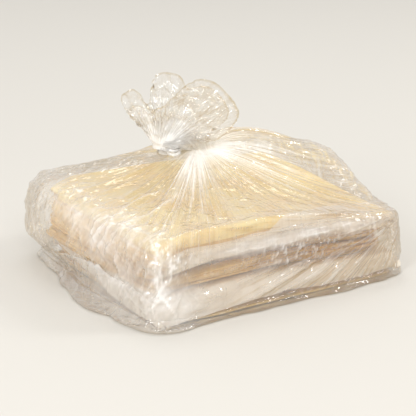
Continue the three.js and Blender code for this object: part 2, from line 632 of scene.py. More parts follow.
class NodeBoard:
    """Places and joins the nodes of one material or node group."""

    def __init__(self, tree: bpy.types.NodeTree) -> None:
        """Starts on an empty tree.

        Args:
            tree: The node tree, which is cleared.
        """
        self.tree = tree
        tree.nodes.clear()

    def add(self, kind: str, settings: dict | None = None, **inputs: object) -> bpy.types.Node:
        """Adds a node and fills in or joins its inputs.

        Args:
            kind: The node's type, such as ShaderNodeMath.
            settings: Properties of the node itself.
            **inputs: Values or output sockets by input name with underscores for spaces, or by in_NUMBER.

        Returns:
            The new node.
        """
        node = self.tree.nodes.new(kind)
        for name, value in (settings or {}).items():
            setattr(node, name, value)
        for name, value in inputs.items():
            key = int(name[3:]) if name.startswith("in_") else name.replace("_", " ")
            if isinstance(value, bpy.types.NodeSocket):
                self.tree.links.new(value, node.inputs[key])
            else:
                node.inputs[key].default_value = value
        return node

    def math(self, operation: str, *values: object) -> bpy.types.NodeSocket:
        """A Math node's result.

        Args:
            operation: Such as MULTIPLY.
            *values: Numbers or sockets.

        Returns:
            Its output socket.
        """
        inputs = {f"in_{index}": value for index, value in enumerate(values)}
        return self.add("ShaderNodeMath", {"operation": operation}, **inputs).outputs[0]

    def vector(self, operation: str, *values: object) -> bpy.types.Node:
        """A Vector Math node.

        Args:
            operation: Such as SUBTRACT.
            *values: Vectors or sockets.

        Returns:
            The node, because some operations have a number as their result.
        """
        inputs = {f"in_{index}": value for index, value in enumerate(values)}
        return self.add("ShaderNodeVectorMath", {"operation": operation}, **inputs)

    def remap(
        self, value: bpy.types.NodeSocket, low: float, high: float, to_low: float, to_high: float
    ) -> bpy.types.NodeSocket:
        """A clamped Map Range node's result.

        Args:
            value: The socket to map.
            low: Start of the range that is read.
            high: End of the range that is read.
            to_low: What low becomes.
            to_high: What high becomes.

        Returns:
            Its output socket.
        """
        ends = {"in_1": low, "in_2": high, "in_3": to_low, "in_4": to_high}
        return self.add("ShaderNodeMapRange", {"clamp": True}, in_0=value, **ends).outputs[0]

    def noise(
        self, vector: bpy.types.NodeSocket, scale: object, detail: float, roughness: float = 0.5
    ) -> bpy.types.NodeSocket:
        """A Noise Texture's factor.

        Args:
            vector: Where it is read.
            scale: Features for each metre, as a number or a socket.
            detail: Octaves.
            roughness: How strong the fine octaves are.

        Returns:
            Its factor socket.
        """
        node = self.add("ShaderNodeTexNoise", Vector=vector, Scale=scale, Detail=detail, Roughness=roughness)
        return node.outputs[0]

    def edges(self, vector: bpy.types.NodeSocket, scale: float) -> bpy.types.NodeSocket:
        """A Voronoi Texture's distance to the nearest edge between two cells.

        Args:
            vector: Where it is read.
            scale: Cells for each metre.

        Returns:
            Its distance socket.
        """
        settings = {"feature": "DISTANCE_TO_EDGE"}
        return self.add("ShaderNodeTexVoronoi", settings, Vector=vector, Scale=scale).outputs["Distance"]

    def place(self) -> bpy.types.NodeSocket:
        """The object coordinates."""
        return self.add("ShaderNodeTexCoord").outputs["Object"]

    def attribute(self, look: Look) -> bpy.types.NodeSocket:
        """What a mesh attribute says."""
        return self.add("ShaderNodeAttribute", {"attribute_name": look.value}).outputs["Fac"]

    def blend(self, share: object, first: object, second: object) -> bpy.types.NodeSocket:
        """A mix of two colours.

        Args:
            share: How much of the second is in it.
            first: A colour or a socket.
            second: A colour or a socket.

        Returns:
            The mixed colour's socket.
        """
        node = self.add("ShaderNodeMix", {"data_type": "RGBA"}, in_0=share, in_6=first, in_7=second)
        return node.outputs[2]

    def layer(self, share: object, first: bpy.types.Node, second: bpy.types.Node) -> bpy.types.Node:
        """A mix of two shaders.

        Args:
            share: How much of the second is in it.
            first: A shader node.
            second: A shader node.

        Returns:
            The mixing node.
        """
        return self.add("ShaderNodeMixShader", in_0=share, in_1=first.outputs[0], in_2=second.outputs[0])

    def mottle(self, patches: float, grain: float, relief: float) -> bpy.types.Node:
        """The mottle group with a material's own values.

        Args:
            patches: Soft patches for each metre.
            grain: Grains for each metre.
            relief: How strong the bump is.

        Returns:
            The group's node.
        """
        node = self.add("ShaderNodeGroup", {"node_tree": mottle_group()})
        for name, value in (("Patches Per Metre", patches), ("Grain Per Metre", grain), ("Relief", relief)):
            node.inputs[name].default_value = value
        return node

    def finish(self, surface: bpy.types.Node) -> None:
        """Joins the last shader to the material's output."""
        self.add("ShaderNodeOutputMaterial", Surface=surface.outputs[0])


def new_material(name: str) -> tuple[bpy.types.Material, NodeBoard]:
    """An empty node material.

    Args:
        name: The material's name.

    Returns:
        The material and the board of its tree.
    """
    material = bpy.data.materials.new(name)
    material.use_nodes = True
    return material, NodeBoard(material.node_tree)


def new_group(name: str, **sockets: tuple[str, str]) -> bpy.types.NodeTree:
    """An empty node group with named inputs and outputs.

    Args:
        name: The group's name.
        **sockets: For each socket INPUT or OUTPUT and its type, by name with underscores for spaces.

    Returns:
        The group.
    """
    tree = bpy.data.node_groups.new(name, "ShaderNodeTree")
    for socket, (way, kind) in sockets.items():
        label = socket.replace("_", " ")
        tree.interface.new_socket(name=label, in_out=way, socket_type=f"NodeSocket{kind}")
    return tree


def mottle_group() -> bpy.types.NodeTree:
    """The group that mottles food and liners: soft patches and fine grain, built once.

    Returns:
        A node group with the patches' and grain's sizes and a relief in, and Patches, Grain and Normal out.
    """
    found = bpy.data.node_groups.get("soft_mottle")
    if found:
        return found
    tree = new_group(
        "soft_mottle",
        Patches_Per_Metre=("INPUT", "Float"),
        Grain_Per_Metre=("INPUT", "Float"),
        Relief=("INPUT", "Float"),
        Patches=("OUTPUT", "Float"),
        Grain=("OUTPUT", "Float"),
        Normal=("OUTPUT", "Vector"),
    )
    board = NodeBoard(tree)
    given = board.add("NodeGroupInput")
    place = board.place()
    patches = board.noise(place, given.outputs["Patches Per Metre"], 4.0)
    grain = board.noise(place, given.outputs["Grain Per Metre"], 3.0, 0.6)
    height = board.math("ADD", patches, board.math("MULTIPLY", grain, 0.35))
    bump = board.add("ShaderNodeBump", Strength=given.outputs["Relief"], Distance=0.0006, Height=height)
    board.add("NodeGroupOutput", Patches=patches, Grain=grain, Normal=bump.outputs[0])
    return tree


def streaks_group() -> bpy.types.NodeTree:
    """The group that draws uneven streaks out from a point, built once.

    Returns:
        A node group with Offset and Rays in, and Light and Dark streaks out.
    """
    found = bpy.data.node_groups.get("radiating_streaks")
    if found:
        return found
    tree = new_group(
        "radiating_streaks",
        Offset=("INPUT", "Vector"),
        Rays=("INPUT", "Float"),
        Light=("OUTPUT", "Float"),
        Dark=("OUTPUT", "Float"),
    )
    board = NodeBoard(tree)
    given = board.add("NodeGroupInput")
    offset, rays = given.outputs["Offset"], given.outputs["Rays"]
    way = board.vector("NORMALIZE", offset).outputs[0]
    far = board.vector("LENGTH", offset).outputs["Value"]
    results = {}
    for name, seed, low, high in (("Light", 0.0, 0.50, 0.70), ("Dark", 5.0, 0.50, 0.64)):
        around = board.vector("SCALE", way)
        board.tree.links.new(rays, around.inputs["Scale"])
        noise = board.add(
            "ShaderNodeTexNoise",
            {"noise_dimensions": "4D"},
            Vector=around.outputs[0],
            W=board.math("MULTIPLY_ADD", far, 22.0, seed),
            Scale=1.0,
            Detail=2.0,
            Roughness=0.6,
        )
        results[name] = board.remap(noise.outputs[0], low, high, 0.0, 1.0)
    board.add("NodeGroupOutput", **results)
    return tree


@dataclass(frozen=True)
class PastaFinish:
    """Fresh egg pasta: pale yellow, satin, mottled, with a little flour on it."""

    name: str = "fresh_pasta"
    pale: Colour = (0.95, 0.80, 0.41, 1.0)
    deep: Colour = (0.88, 0.66, 0.28, 1.0)
    flour: Colour = (0.92, 0.86, 0.72, 1.0)
    roughness: float = 0.48

    def material(self) -> bpy.types.Material:
        """The pasta material.

        Returns:
            A material with patches of deeper yellow, flour and fine grain.
        """
        material, board = new_material(self.name)
        mottle = board.mottle(38.0, 900.0, 0.35)
        depth = board.remap(mottle.outputs["Patches"], 0.38, 0.66, 0.0, 1.0)
        dusting = board.remap(board.noise(board.place(), 150.0, 6.0, 0.7), 0.52, 0.72, 0.0, 0.55)
        rough = board.remap(mottle.outputs["Grain"], 0.3, 0.7, self.roughness - 0.1, self.roughness + 0.15)
        shader = board.add(
            "ShaderNodeBsdfPrincipled",
            Base_Color=board.blend(dusting, board.blend(depth, self.pale, self.deep), self.flour),
            Roughness=rough,
            Normal=mottle.outputs["Normal"],
            Subsurface_Weight=0.15,
            Subsurface_Radius=(0.004, 0.003, 0.0015),
            Subsurface_Scale=1.0,
        )
        board.finish(shader)
        return material


@dataclass(frozen=True)
class LinerFinish:
    """The thin milky liner between the sheets: white, satin, a little see-through."""

    name: str = "milky_liner"
    colour: Colour = (0.96, 0.90, 0.80, 1.0)
    clear_share: float = 0.09
    glow_share: float = 0.15

    def material(self) -> bpy.types.Material:
        """The liner material.

        Returns:
            A mix of satin white film and a little plain transparency, cloudy in patches.
        """
        material, board = new_material(self.name)
        mottle = board.mottle(60.0, 500.0, 0.5)
        least, most = self.clear_share * 0.4, self.clear_share * 1.8
        cloudy = board.remap(mottle.outputs["Patches"], 0.35, 0.65, least, most)
        normal = mottle.outputs["Normal"]
        satin = board.add("ShaderNodeBsdfPrincipled", Base_Color=self.colour, Roughness=0.42, Normal=normal)
        glow = board.add("ShaderNodeBsdfTranslucent", Color=self.colour)
        body = board.layer(self.glow_share, satin, glow)
        board.finish(board.layer(cloudy, body, board.add("ShaderNodeBsdfTransparent")))
        return material


@dataclass(frozen=True)
class FilmFinish:
    """Thin clear film: glossy and wrinkled, milky where it is gathered.

    Mesh attributes say where: VEIL for milky, SHADE for painted shade that tints the film golden brown, RAYS
    for streaks out from the neck and PULL for streaks out from the right top corner.
    """

    name: str = "clear_film"
    tint: Colour = (0.985, 0.981, 0.974, 1.0)
    # Golden brown for grazing rims and for the painted shade.
    rim_tint: Colour = (0.67, 0.53, 0.30, 1.0)
    haze: Colour = (0.930, 0.920, 0.905, 1.0)
    gloss_roughness: float = 0.06
    most_gloss: float = 0.6
    most_veil: float = 0.93
    wrinkle_depth: float = 0.0006
    rays_from: Triple = (0.0067, 0.0274, 0.0)
    rays_density: float = 42.0
    rays_light: float = 0.50
    rays_dark: float = 0.62
    pull_from: Triple = (0.1237, 0.0, 0.0520)
    pull_density: float = 38.0
    pull_light: float = 0.22
    pull_dark: float = 0.70

    def material(self) -> bpy.types.Material:
        """The film material.

        Returns:
            Transparent film with a white veil and a glossy, wrinkled skin.
        """
        material, board = new_material(self.name)
        place = board.place()
        seen_from_above, seen_from_the_front = (1.0, 1.0, 0.0), (1.0, 0.0, 1.0)
        rays_light, rays_dark = self.streaks(
            board, place, self.rays_from, seen_from_above, self.rays_density, Look.RAYS
        )
        pull_light, pull_dark = self.streaks(
            board, place, self.pull_from, seen_from_the_front, self.pull_density, Look.PULL
        )
        height, lines = self.wrinkles(board, place)
        pleats = board.math("MULTIPLY", board.math("ADD", rays_light, pull_light), 1.1)
        height = board.math("ADD", height, pleats)
        veil = board.math("MULTIPLY_ADD", rays_light, self.rays_light, board.attribute(Look.VEIL))
        veil = board.math("MULTIPLY_ADD", pull_light, self.pull_light, veil)
        veil = board.math("MINIMUM", board.math("MULTIPLY_ADD", lines, 0.04, veil), self.most_veil)
        # The dark streaks are painted shade in the valleys of the pleats.
        shade = board.math("MULTIPLY_ADD", rays_dark, self.rays_dark, board.attribute(Look.SHADE))
        shade = board.math("MULTIPLY_ADD", pull_dark, self.pull_dark, shade)
        bump = board.add("ShaderNodeBump", Strength=0.6, Distance=self.wrinkle_depth, Height=height)
        bump = bump.outputs[0]
        facing = board.add("ShaderNodeLayerWeight", Blend=0.5, Normal=bump).outputs["Facing"]
        # Grazing rims and the painted shade tint the see-through part golden brown.
        rim = board.math("MINIMUM", board.math("ADD", board.math("POWER", facing, 2.4), shade), 1.0)
        clear = board.add("ShaderNodeBsdfTransparent", Color=board.blend(rim, self.tint, self.rim_tint))
        white = board.add("ShaderNodeBsdfDiffuse", Color=self.haze, Normal=bump)
        glow = board.add("ShaderNodeBsdfTranslucent", Color=self.haze, Normal=bump)
        milk = board.layer(board.remap(veil, 0.25, 0.9, 0.45, 0.16), white, glow)
        body = board.layer(veil, clear, milk)
        fresnel = board.add("ShaderNodeFresnel", IOR=1.5, Normal=bump).outputs[0]
        calm = board.remap(veil, 0.5, 0.95, 2.0, 0.7)
        gloss_share = board.math("MINIMUM", board.math("MULTIPLY", fresnel, calm), self.most_gloss)
        gloss = board.add(
            "ShaderNodeBsdfGlossy", Color=(1, 1, 1, 1), Roughness=self.gloss_roughness, Normal=bump
        )
        board.finish(board.layer(gloss_share, body, gloss))
        return material

    def streaks(
        self,
        board: NodeBoard,
        place: bpy.types.NodeSocket,
        start: Triple,
        flat: Triple,
        rays: float,
        mask: Look,
    ) -> tuple[bpy.types.NodeSocket, bpy.types.NodeSocket]:
        """Streaks that run out from a point, where a mesh attribute asks for them.

        Args:
            board: The material's board.
            place: The object coordinates.
            start: The point in the frame.
            flat: 1 for the two axes that the streaks are drawn in, 0 for the one that they are seen along.
            rays: How close together they are.
            mask: The attribute.

        Returns:
            How much light streak and how much dark streak there is.
        """
        offset = board.vector("MULTIPLY", board.vector("SUBTRACT", place, start).outputs[0], flat).outputs[0]
        pattern = board.add("ShaderNodeGroup", {"node_tree": streaks_group()}, Offset=offset, Rays=rays)
        strength = board.attribute(mask)
        light = board.math("MULTIPLY", pattern.outputs["Light"], strength)
        return light, board.math("MULTIPLY", pattern.outputs["Dark"], strength)

    def wrinkles(
        self, board: NodeBoard, place: bpy.types.NodeSocket
    ) -> tuple[bpy.types.NodeSocket, bpy.types.NodeSocket]:
        """Large and small creases of crumpled film.

        Args:
            board: The material's board.
            place: The object coordinates.

        Returns:
            The height for a bump, and a mask of the sharpest crease lines.
        """
        bend = board.add("ShaderNodeTexNoise", Vector=place, Scale=60.0, Detail=1.0).outputs["Color"]
        shifted = board.vector("MULTIPLY_ADD", bend, (0.012,) * 3, place).outputs[0]
        cells, facets = board.edges(shifted, 130.0), board.edges(shifted, 52.0)
        lines = board.remap(facets, 0.0, 0.06, 1.0, 0.0)
        small, large = board.remap(cells, 0.0, 0.22, 0.35, 0.0), board.remap(facets, 0.0, 0.12, 1.0, 0.0)
        fine = board.noise(shifted, 320.0, 2.0, 0.6)
        return board.math("MULTIPLY_ADD", fine, 0.4, board.math("ADD", small, large)), lines


# ---------------------------------------------------------------------------------------------------------
# Pasta sheets and liners
# ---------------------------------------------------------------------------------------------------------


@dataclass
class SheetBundle:
    """A bundle of pasta sheets that lie on each other, each a little off from the one below."""

    plan: StackPlan
    name: str
    low: float
    high: float
    length: float
    width: float
    shift_x: float = 0.0
    shift_y: float = 0.0
    turn: float = 0.0
    pitch: float = 0.0021
    thickness: float = 0.0019
    scatter: float = 0.0012
    seed: int = 1
    corner_softness: float = 0.0035
    edge_wobble: float = 0.0012
    turn_scatter: float = 0.35
    edge_bevel: float = 0.0005

    def one_sheet(self, index: int, level: float, random: np.random.Generator) -> bpy.types.Object:
        """Models one sheet: a grid with a soft outline, thickened and with rounded edges.

        Args:
            index: The sheet's number in the bundle, from the bottom.
            level: Height of its underside in the level stack.
            random: Source of its small offsets.

        Returns:
            The sheet.
        """
        sheet = new_sheet(f"{self.name}_{index:02d}", 44, 38, 1.0)
        points = vertex_array(sheet)
        x = points[:, 0] * self.length
        y = points[:, 1] * self.width
        soft = self.corner_softness * (2 * np.abs(points[:, 0])) ** 10 * (2 * np.abs(points[:, 1])) ** 10
        x -= np.sign(x) * soft
        y -= np.sign(y) * soft
        edge = np.maximum(np.abs(points[:, 0]), np.abs(points[:, 1])) * 2
        here = np.stack([x, y, np.full_like(x, level * 3)], axis=1)
        wobble = lattice_noise(here, 0.03, self.seed * 31 + index)
        x += np.sign(x) * self.edge_wobble * wobble * edge**6
        y += np.sign(y) * self.edge_wobble * wobble * edge**6
        angle = math.radians(self.turn + random.normal(0.0, self.turn_scatter))
        off = random.normal(0.0, self.scatter, 2)
        turned_x = x * math.cos(angle) - y * math.sin(angle) + self.shift_x + off[0]
        turned_y = x * math.sin(angle) + y * math.cos(angle) + self.shift_y + off[1]
        ripple = lattice_noise(np.stack([x, y, np.zeros_like(x)], axis=1), 0.045, self.seed)
        z = level + 0.0004 * ripple + self.thickness / 2
        set_vertices(sheet, self.plan.settle(np.stack([turned_x, turned_y, z], axis=1)))
        thicken(sheet, self.thickness)
        bevel = sheet.modifiers.new("soft_edges", "BEVEL")
        bevel.width = self.edge_bevel
        bevel.segments = 2
        apply_modifiers(sheet)
        return sheet

    def build(self, finish: bpy.types.Material) -> bpy.types.Object:
        """Models every sheet and joins them into one piece.

        Args:
            finish: The pasta material.

        Returns:
            The bundle.
        """
        random = np.random.default_rng(self.seed)
        levels = np.arange(self.low, self.high - 0.5 * self.pitch, self.pitch)
        sheets = [self.one_sheet(index, level, random) for index, level in enumerate(levels)]
        bpy.ops.object.select_all(action="DESELECT")
        for sheet in sheets:
            sheet.select_set(True)
        bpy.context.view_layer.objects.active = sheets[0]
        bpy.ops.object.join()
        bundle = bpy.context.active_object
        bundle.name = self.name
        dress(bundle, finish, 40)
        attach(bundle, "root")
        return bundle


@dataclass
class Liner:
    """A thin liner, or a drooping top sheet, that lies on a bundle and hangs down over its sides in waves.

    The skews make it hang shorter towards the right end of the front and towards the back of the left side.
    With back_middle it covers only a part at the front, up to a slanted back edge.
    """

    plan: StackPlan
    name: str
    level: float
    length: float
    width: float
    hang: float
    shift_x: float = 0.0
    skew: float = 0.0
    wave: float = 0.0022
    flare: float = 0.0
    left_skew: float = 0.0
    seed: int = 1
    back_middle: float | None = None
    back_slope: float = 0.0
    left_fall: float = 0.0
    thickness: float = 0.0
    slot: Slot = Slot.LINER
    edge_radius: float = 0.0025
    corner_pleat: float = 0.0025
    most_ruffle: float = 0.001

    def flat_outline(self, u: Array, v: Array) -> tuple[Array, Array]:
        """The liner laid out flat.

        Args:
            u: -1 to 1 from its left to its right edge.
            v: -1 to 1 from its front to its back edge.

        Returns:
            The places along X and along Y.
        """
        far_x, far_y = self.length / 2 + self.hang, self.width / 2 + self.hang
        flat_x, flat_y = u * far_x, v * far_y
        if self.back_middle is not None:
            fall = self.left_fall * np.clip(0.055 - flat_x, 0.0, None)
            back = self.back_middle + self.back_slope * flat_x - fall
            back = np.minimum(np.maximum(back, -self.width / 2 - 0.85 * self.hang), far_y)
            back += 0.002 * line_noise(flat_x, 0.03, self.seed)
            flat_y = -far_y + (np.maximum(back, -far_y + 0.004) + far_y) * (v + 1) / 2
        return flat_x, flat_y

    def fold_down(self, flat_x: Array, flat_y: Array) -> Array:
        """Turns what lies past the bundle's edges down, with ruffles and pleated corners.

        Args:
            flat_x: Places along X on the flat liner.
            flat_y: Places along Y on the flat liner.

        Returns:
            Places on the level stack, one row each.
        """
        half_x, half_y = self.length / 2, self.width / 2
        over_x = np.clip(np.abs(flat_x) - half_x, 0.0, None)
        over_y = np.clip(np.abs(flat_y) - half_y, 0.0, None)
        over = np.hypot(over_x, over_y)
        along = np.stack([flat_x, flat_y, np.zeros_like(flat_x)], axis=1)
        ragged = 1.0 + 0.16 * lattice_noise(along, 0.055, self.seed)
        ragged += 0.05 * lattice_noise(along, 0.015, self.seed + 5)
        out = self.edge_radius * np.sin(np.clip(over / 0.004, 0.0, 1.0) * math.pi / 2)
        ruffle = self.wave * smoothstep(0.0, self.hang, over)
        ruffle *= 0.5 + lattice_noise(along, 0.016, self.seed + 9)
        ruffle = np.clip(ruffle, -self.most_ruffle, self.most_ruffle)
        out += ruffle + self.flare * smoothstep(0.2 * self.hang, self.hang, over)
        corner = np.minimum(over_x, over_y) > 0
        side_x = np.where(over_x > 0, np.sign(flat_x), 0.0)
        side_y = np.where(over_y > 0, np.sign(flat_y), 0.0)
        round_corner = np.stack([over_x * np.sign(flat_x), over_y * np.sign(flat_y)], axis=1)
        way = np.where(corner[:, None], round_corner, np.stack([side_x, side_y], axis=1))
        size = np.linalg.norm(way, axis=1, keepdims=True)
        way = way / np.where(size > 0, size, 1.0)
        pleat = self.corner_pleat * np.cos(12 * np.arctan2(over_y, over_x)) * smoothstep(0.002, 0.02, over)
        pleat = np.where(corner, pleat, 0.0)
        x = np.clip(flat_x, -half_x, half_x) + way[:, 0] * (out + pleat) + self.shift_x
        y = np.clip(flat_y, -half_y, half_y) + way[:, 1] * (out + pleat)
        ragged *= 1.0 - self.skew * flat_x / half_x * (flat_y < -half_y)
        ragged *= 1.0 - self.left_skew * np.clip(flat_y / half_y, -0.25, 1.0) * (flat_x < -half_x)
        drop = np.clip(over - 0.002, 0.0, None) * ragged
        z = np.maximum(self.level - drop, 0.0012)
        z += 0.0003 * lattice_noise(along, 0.02, self.seed + 3) * (over == 0)
        return np.stack([x, y, z], axis=1)

    def build(self, finish: bpy.types.Material) -> bpy.types.Object:
        """Models the liner as one sheet that turns down over the bundle's edges.

        Args:
            finish: Its material.

        Returns:
            The liner.
        """
        liner = new_sheet(self.name, 150, 130, 2.0)
        flat = self.flat_outline(*vertex_array(liner)[:, :2].T)
        set_vertices(liner, self.plan.settle(self.fold_down(*flat)))
        if self.thickness:
            thicken(liner, self.thickness)
            apply_modifiers(liner)
        dress(liner, finish, 60)
        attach(liner, "root")
        return liner


def drooping_sheet(
    plan: StackPlan, name: str, level: float, size: Triple, skew: float, seed: int, thickness: float
) -> Liner:
    """A loose top sheet of pasta, which lies like a liner and droops over the edges of the stack.

    Args:
        plan: The stack's plan.
        name: The sheet's name.
        level: Height in the level stack.
        size: How much of it lies on the stack along X and along Y, and how far it droops over the edges.
        skew: How much less it droops at the right end of the front.
        seed: Which pattern of waves.
        thickness: The sheet's thickness.

    Returns:
        The sheet, not built yet.
    """
    given = {"skew": skew, "seed": seed, "thickness": thickness}
    return Liner(plan, name, level, *size, wave=0.0004, left_skew=0.9, slot=Slot.PASTA, **given)


# ---------------------------------------------------------------------------------------------------------
# The film bag
# ---------------------------------------------------------------------------------------------------------


@dataclass(frozen=True)
class FilmPatch:
    """A spot with a soft outline where the film is milkier, more crumpled, or darker with painted shade than
    round it.
    """

    centre: Triple
    size: Triple
    strength: float

    def at(self, places: Array) -> Array:
        """How strong the patch is at each place.

        Args:
            places: Places relative to the stack's centre, with x, y and z along the last axis.

        Returns:
            An amount for each place, full at the patch's centre.
        """
        away = (places - np.array(self.centre)) / np.array(self.size)
        return self.strength * np.exp(-np.sum(away**2, axis=-1))


def pleats(turn: Array, count: int, sharpness: float, seed: int) -> Array:
    """Crests of uneven pleats round the neck.

    Args:
        turn: Directions round the neck in radians.
        count: How many pleats go round.
        sharpness: Above 1 the crests are narrower than the valleys.
        seed: Which pattern.

    Returns:
        0 to 1 for each direction, 1 on the highest crests.
    """
    uneven = 1.6 * np.sin(3 * turn + seed) + 1.1 * np.sin(7 * turn + 2 * seed)
    uneven = uneven + 0.7 * np.sin(13 * turn + 3 * seed)
    crest = (0.5 + 0.5 * np.cos(count * turn + uneven)) ** sharpness
    return crest * (0.6 + 0.4 * np.sin(5 * turn + seed) * np.sin(11 * turn + 2 * seed))


def toward(turn: Array, degrees: float, low: float, high: float) -> Array:
    """How much each direction faces a given one.

    Args:
        turn: Directions in radians.
        degrees: The given direction.
        low: The cosine of the angle between them below which the answer is 0.
        high: The cosine above which the answer is 1.

    Returns:
        0 to 1 for each direction.
    """
    return smoothstep(low, high, np.cos(turn - math.radians(degrees)))


@dataclass
class FilmZones:
    """Which part of the bag each row and column of the film belongs to, as masks from 0 to 1.

    A row is told by the key rings that it lies between: 0 to 3 are on the table, 4 to 6 are the skirt's
    upper side, 7 to 10 the sides, 11 to 18 the tent and 19 to 22 the neck. The masks are:
    share: 0 at the stack's top edge, 1 at the neck, and fade, which falls off just before the neck.
    base, side, tent, knot: the parts of the bag.
    bundle, sector, leftward: the dense pleats at the front left, all pleated directions and the calm left.
    middle, fine: crests of the middle and the fine pleats.
    """

    row: Array
    turn: Array

    def __post_init__(self) -> None:
        """Works the masks out."""
        row, turn = self.row, self.turn
        self.share = np.clip((row - 11.0) / 8.0, 0.0, 1.0)
        self.fade = 1 - self.share**5
        self.tent = smoothstep(10.3, 12.0, row) * smoothstep(19.4, 18.4, row)
        self.side = smoothstep(5.5, 7.5, row) * smoothstep(12.5, 10.8, row)
        self.knot = smoothstep(18.4, 19.2, row)
        self.base = smoothstep(2.2, 1.4, row)
        self.bundle = self.front_bundle()
        self.sector = np.clip(0.22 + self.bundle + 0.85 * toward(turn, -20, 0.62, 0.92), 0.0, 1.0)
        self.leftward = toward(turn, 165, 0.35, 0.85)
        self.middle, self.fine = pleats(turn, 83, 2.0, 2), pleats(turn, 167, 1.5, 3)

    def front_bundle(self) -> Array:
        """The dense bundle of pleats at the front left, sharp on its left and fading to the right.

        Returns:
            0 to 1 for each direction.
        """
        degrees = np.degrees(np.mod(self.turn, 2 * math.pi))
        return smoothstep(217.0, 223.0, degrees) * smoothstep(264.0, 234.0, degrees)


@dataclass
class FilmPatterns:
    """The creases of the rested film, drawn once and used for its relief and for its looks."""

    places: Array
    zones: FilmZones
    bag: "FilmBag"

    def __post_init__(self) -> None:
        """Draws the patterns."""
        places, zones = self.places, self.zones
        self.small = crease_noise(places, 0.0075, 17)
        self.large = crease_noise(places, 0.019, 27)
        self.where = lattice_noise(places, 0.030, 29)
        self.cloudy = 0.5 + 0.5 * lattice_noise(places, 0.035, 23)
        self.ridges = crumple(places, 0.024, 3, 0.10, 0.7)
        self.dents = crumple(places, 0.013, 5, 0.12)
        self.at_end = 0.22 + 0.78 * smoothstep(0.100, 0.114, np.abs(places[:, :, 0]))
        self.crushed = (zones.side + 0.25 * zones.tent * smoothstep(0.6, 0.1, zones.share)) * self.at_end
        self.crinkled = sum(patch.at(places) for patch in self.bag.crinkled_patches)
        self.crinkles = crumple(places, 0.0080, 13, 0.10, 1.6)
        self.fine_crinkles = crumple(places, 0.007, 15, 0.12)
        self.glints = crumple(places, 0.014, 31, 0.07, 0.6)
        self.seams = crumple(places, 0.030, 9, 0.07, 0.6)
        self.strokes = smoothstep(0.0, 0.6, lattice_noise(self.slanted(), 0.012, 35))
        self.leaf = self.bag.leaf_fold(places) * zones.tent

    def slanted(self) -> Array:
        """The places turned and squeezed so that a noise read there becomes slanting strokes."""
        x, y, z = np.moveaxis(self.places, -1, 0)
        return np.stack([x - y, 0.8 * z - 0.6 * y, 5 * (0.6 * z + 0.8 * y)], axis=-1)

    def relief(self) -> Array:
        """How far the pleats and creases stand out of the rested film.

        Returns:
            A height in metres for each place.
        """
        zones, row, share = self.zones, self.zones.row, self.zones.share
        middle_push = 0.0011 * zones.middle * smoothstep(0.05, 0.6, share)
        fine_push = 0.0007 * zones.fine * smoothstep(0.35, 0.8, share)
        push = zones.tent * zones.fade * (1 - 0.5 * zones.leftward) * (middle_push + fine_push)
        coarse = pleats(zones.turn, 17, 1.5, 4) - 0.4
        push = push + zones.knot * (0.0020 * coarse + 0.0014 * zones.middle + 0.0006 * zones.fine)
        skirt = 0.5 * smoothstep(2.0, 3.0, row) * smoothstep(7.0, 5.5, row)
        wrinkled = smoothstep(0.35, 0.75, 0.5 + 0.5 * self.where)
        push += self.small * (0.0004 + 0.0005 * wrinkled) * (zones.side + skirt)
        push += self.large * 0.0006 * zones.side + self.small * 0.00015 * zones.tent * (1 - share)
        push += self.crushed * (0.0012 * self.ridges - 0.0006 * self.dents)
        push += 0.0022 * self.crinkled * self.crinkles
        milky = sum(patch.at(self.places) for patch in self.bag.milky_patches)
        push += 0.0010 * self.strokes * np.clip(milky, 0.0, 0.5) * 2
        push += 0.0016 * self.bag.crushed_corner.at(self.places) * crumple(self.places, 0.011, 21, 0.15, 0.7)
        push += 0.0010 * self.leaf
        return push


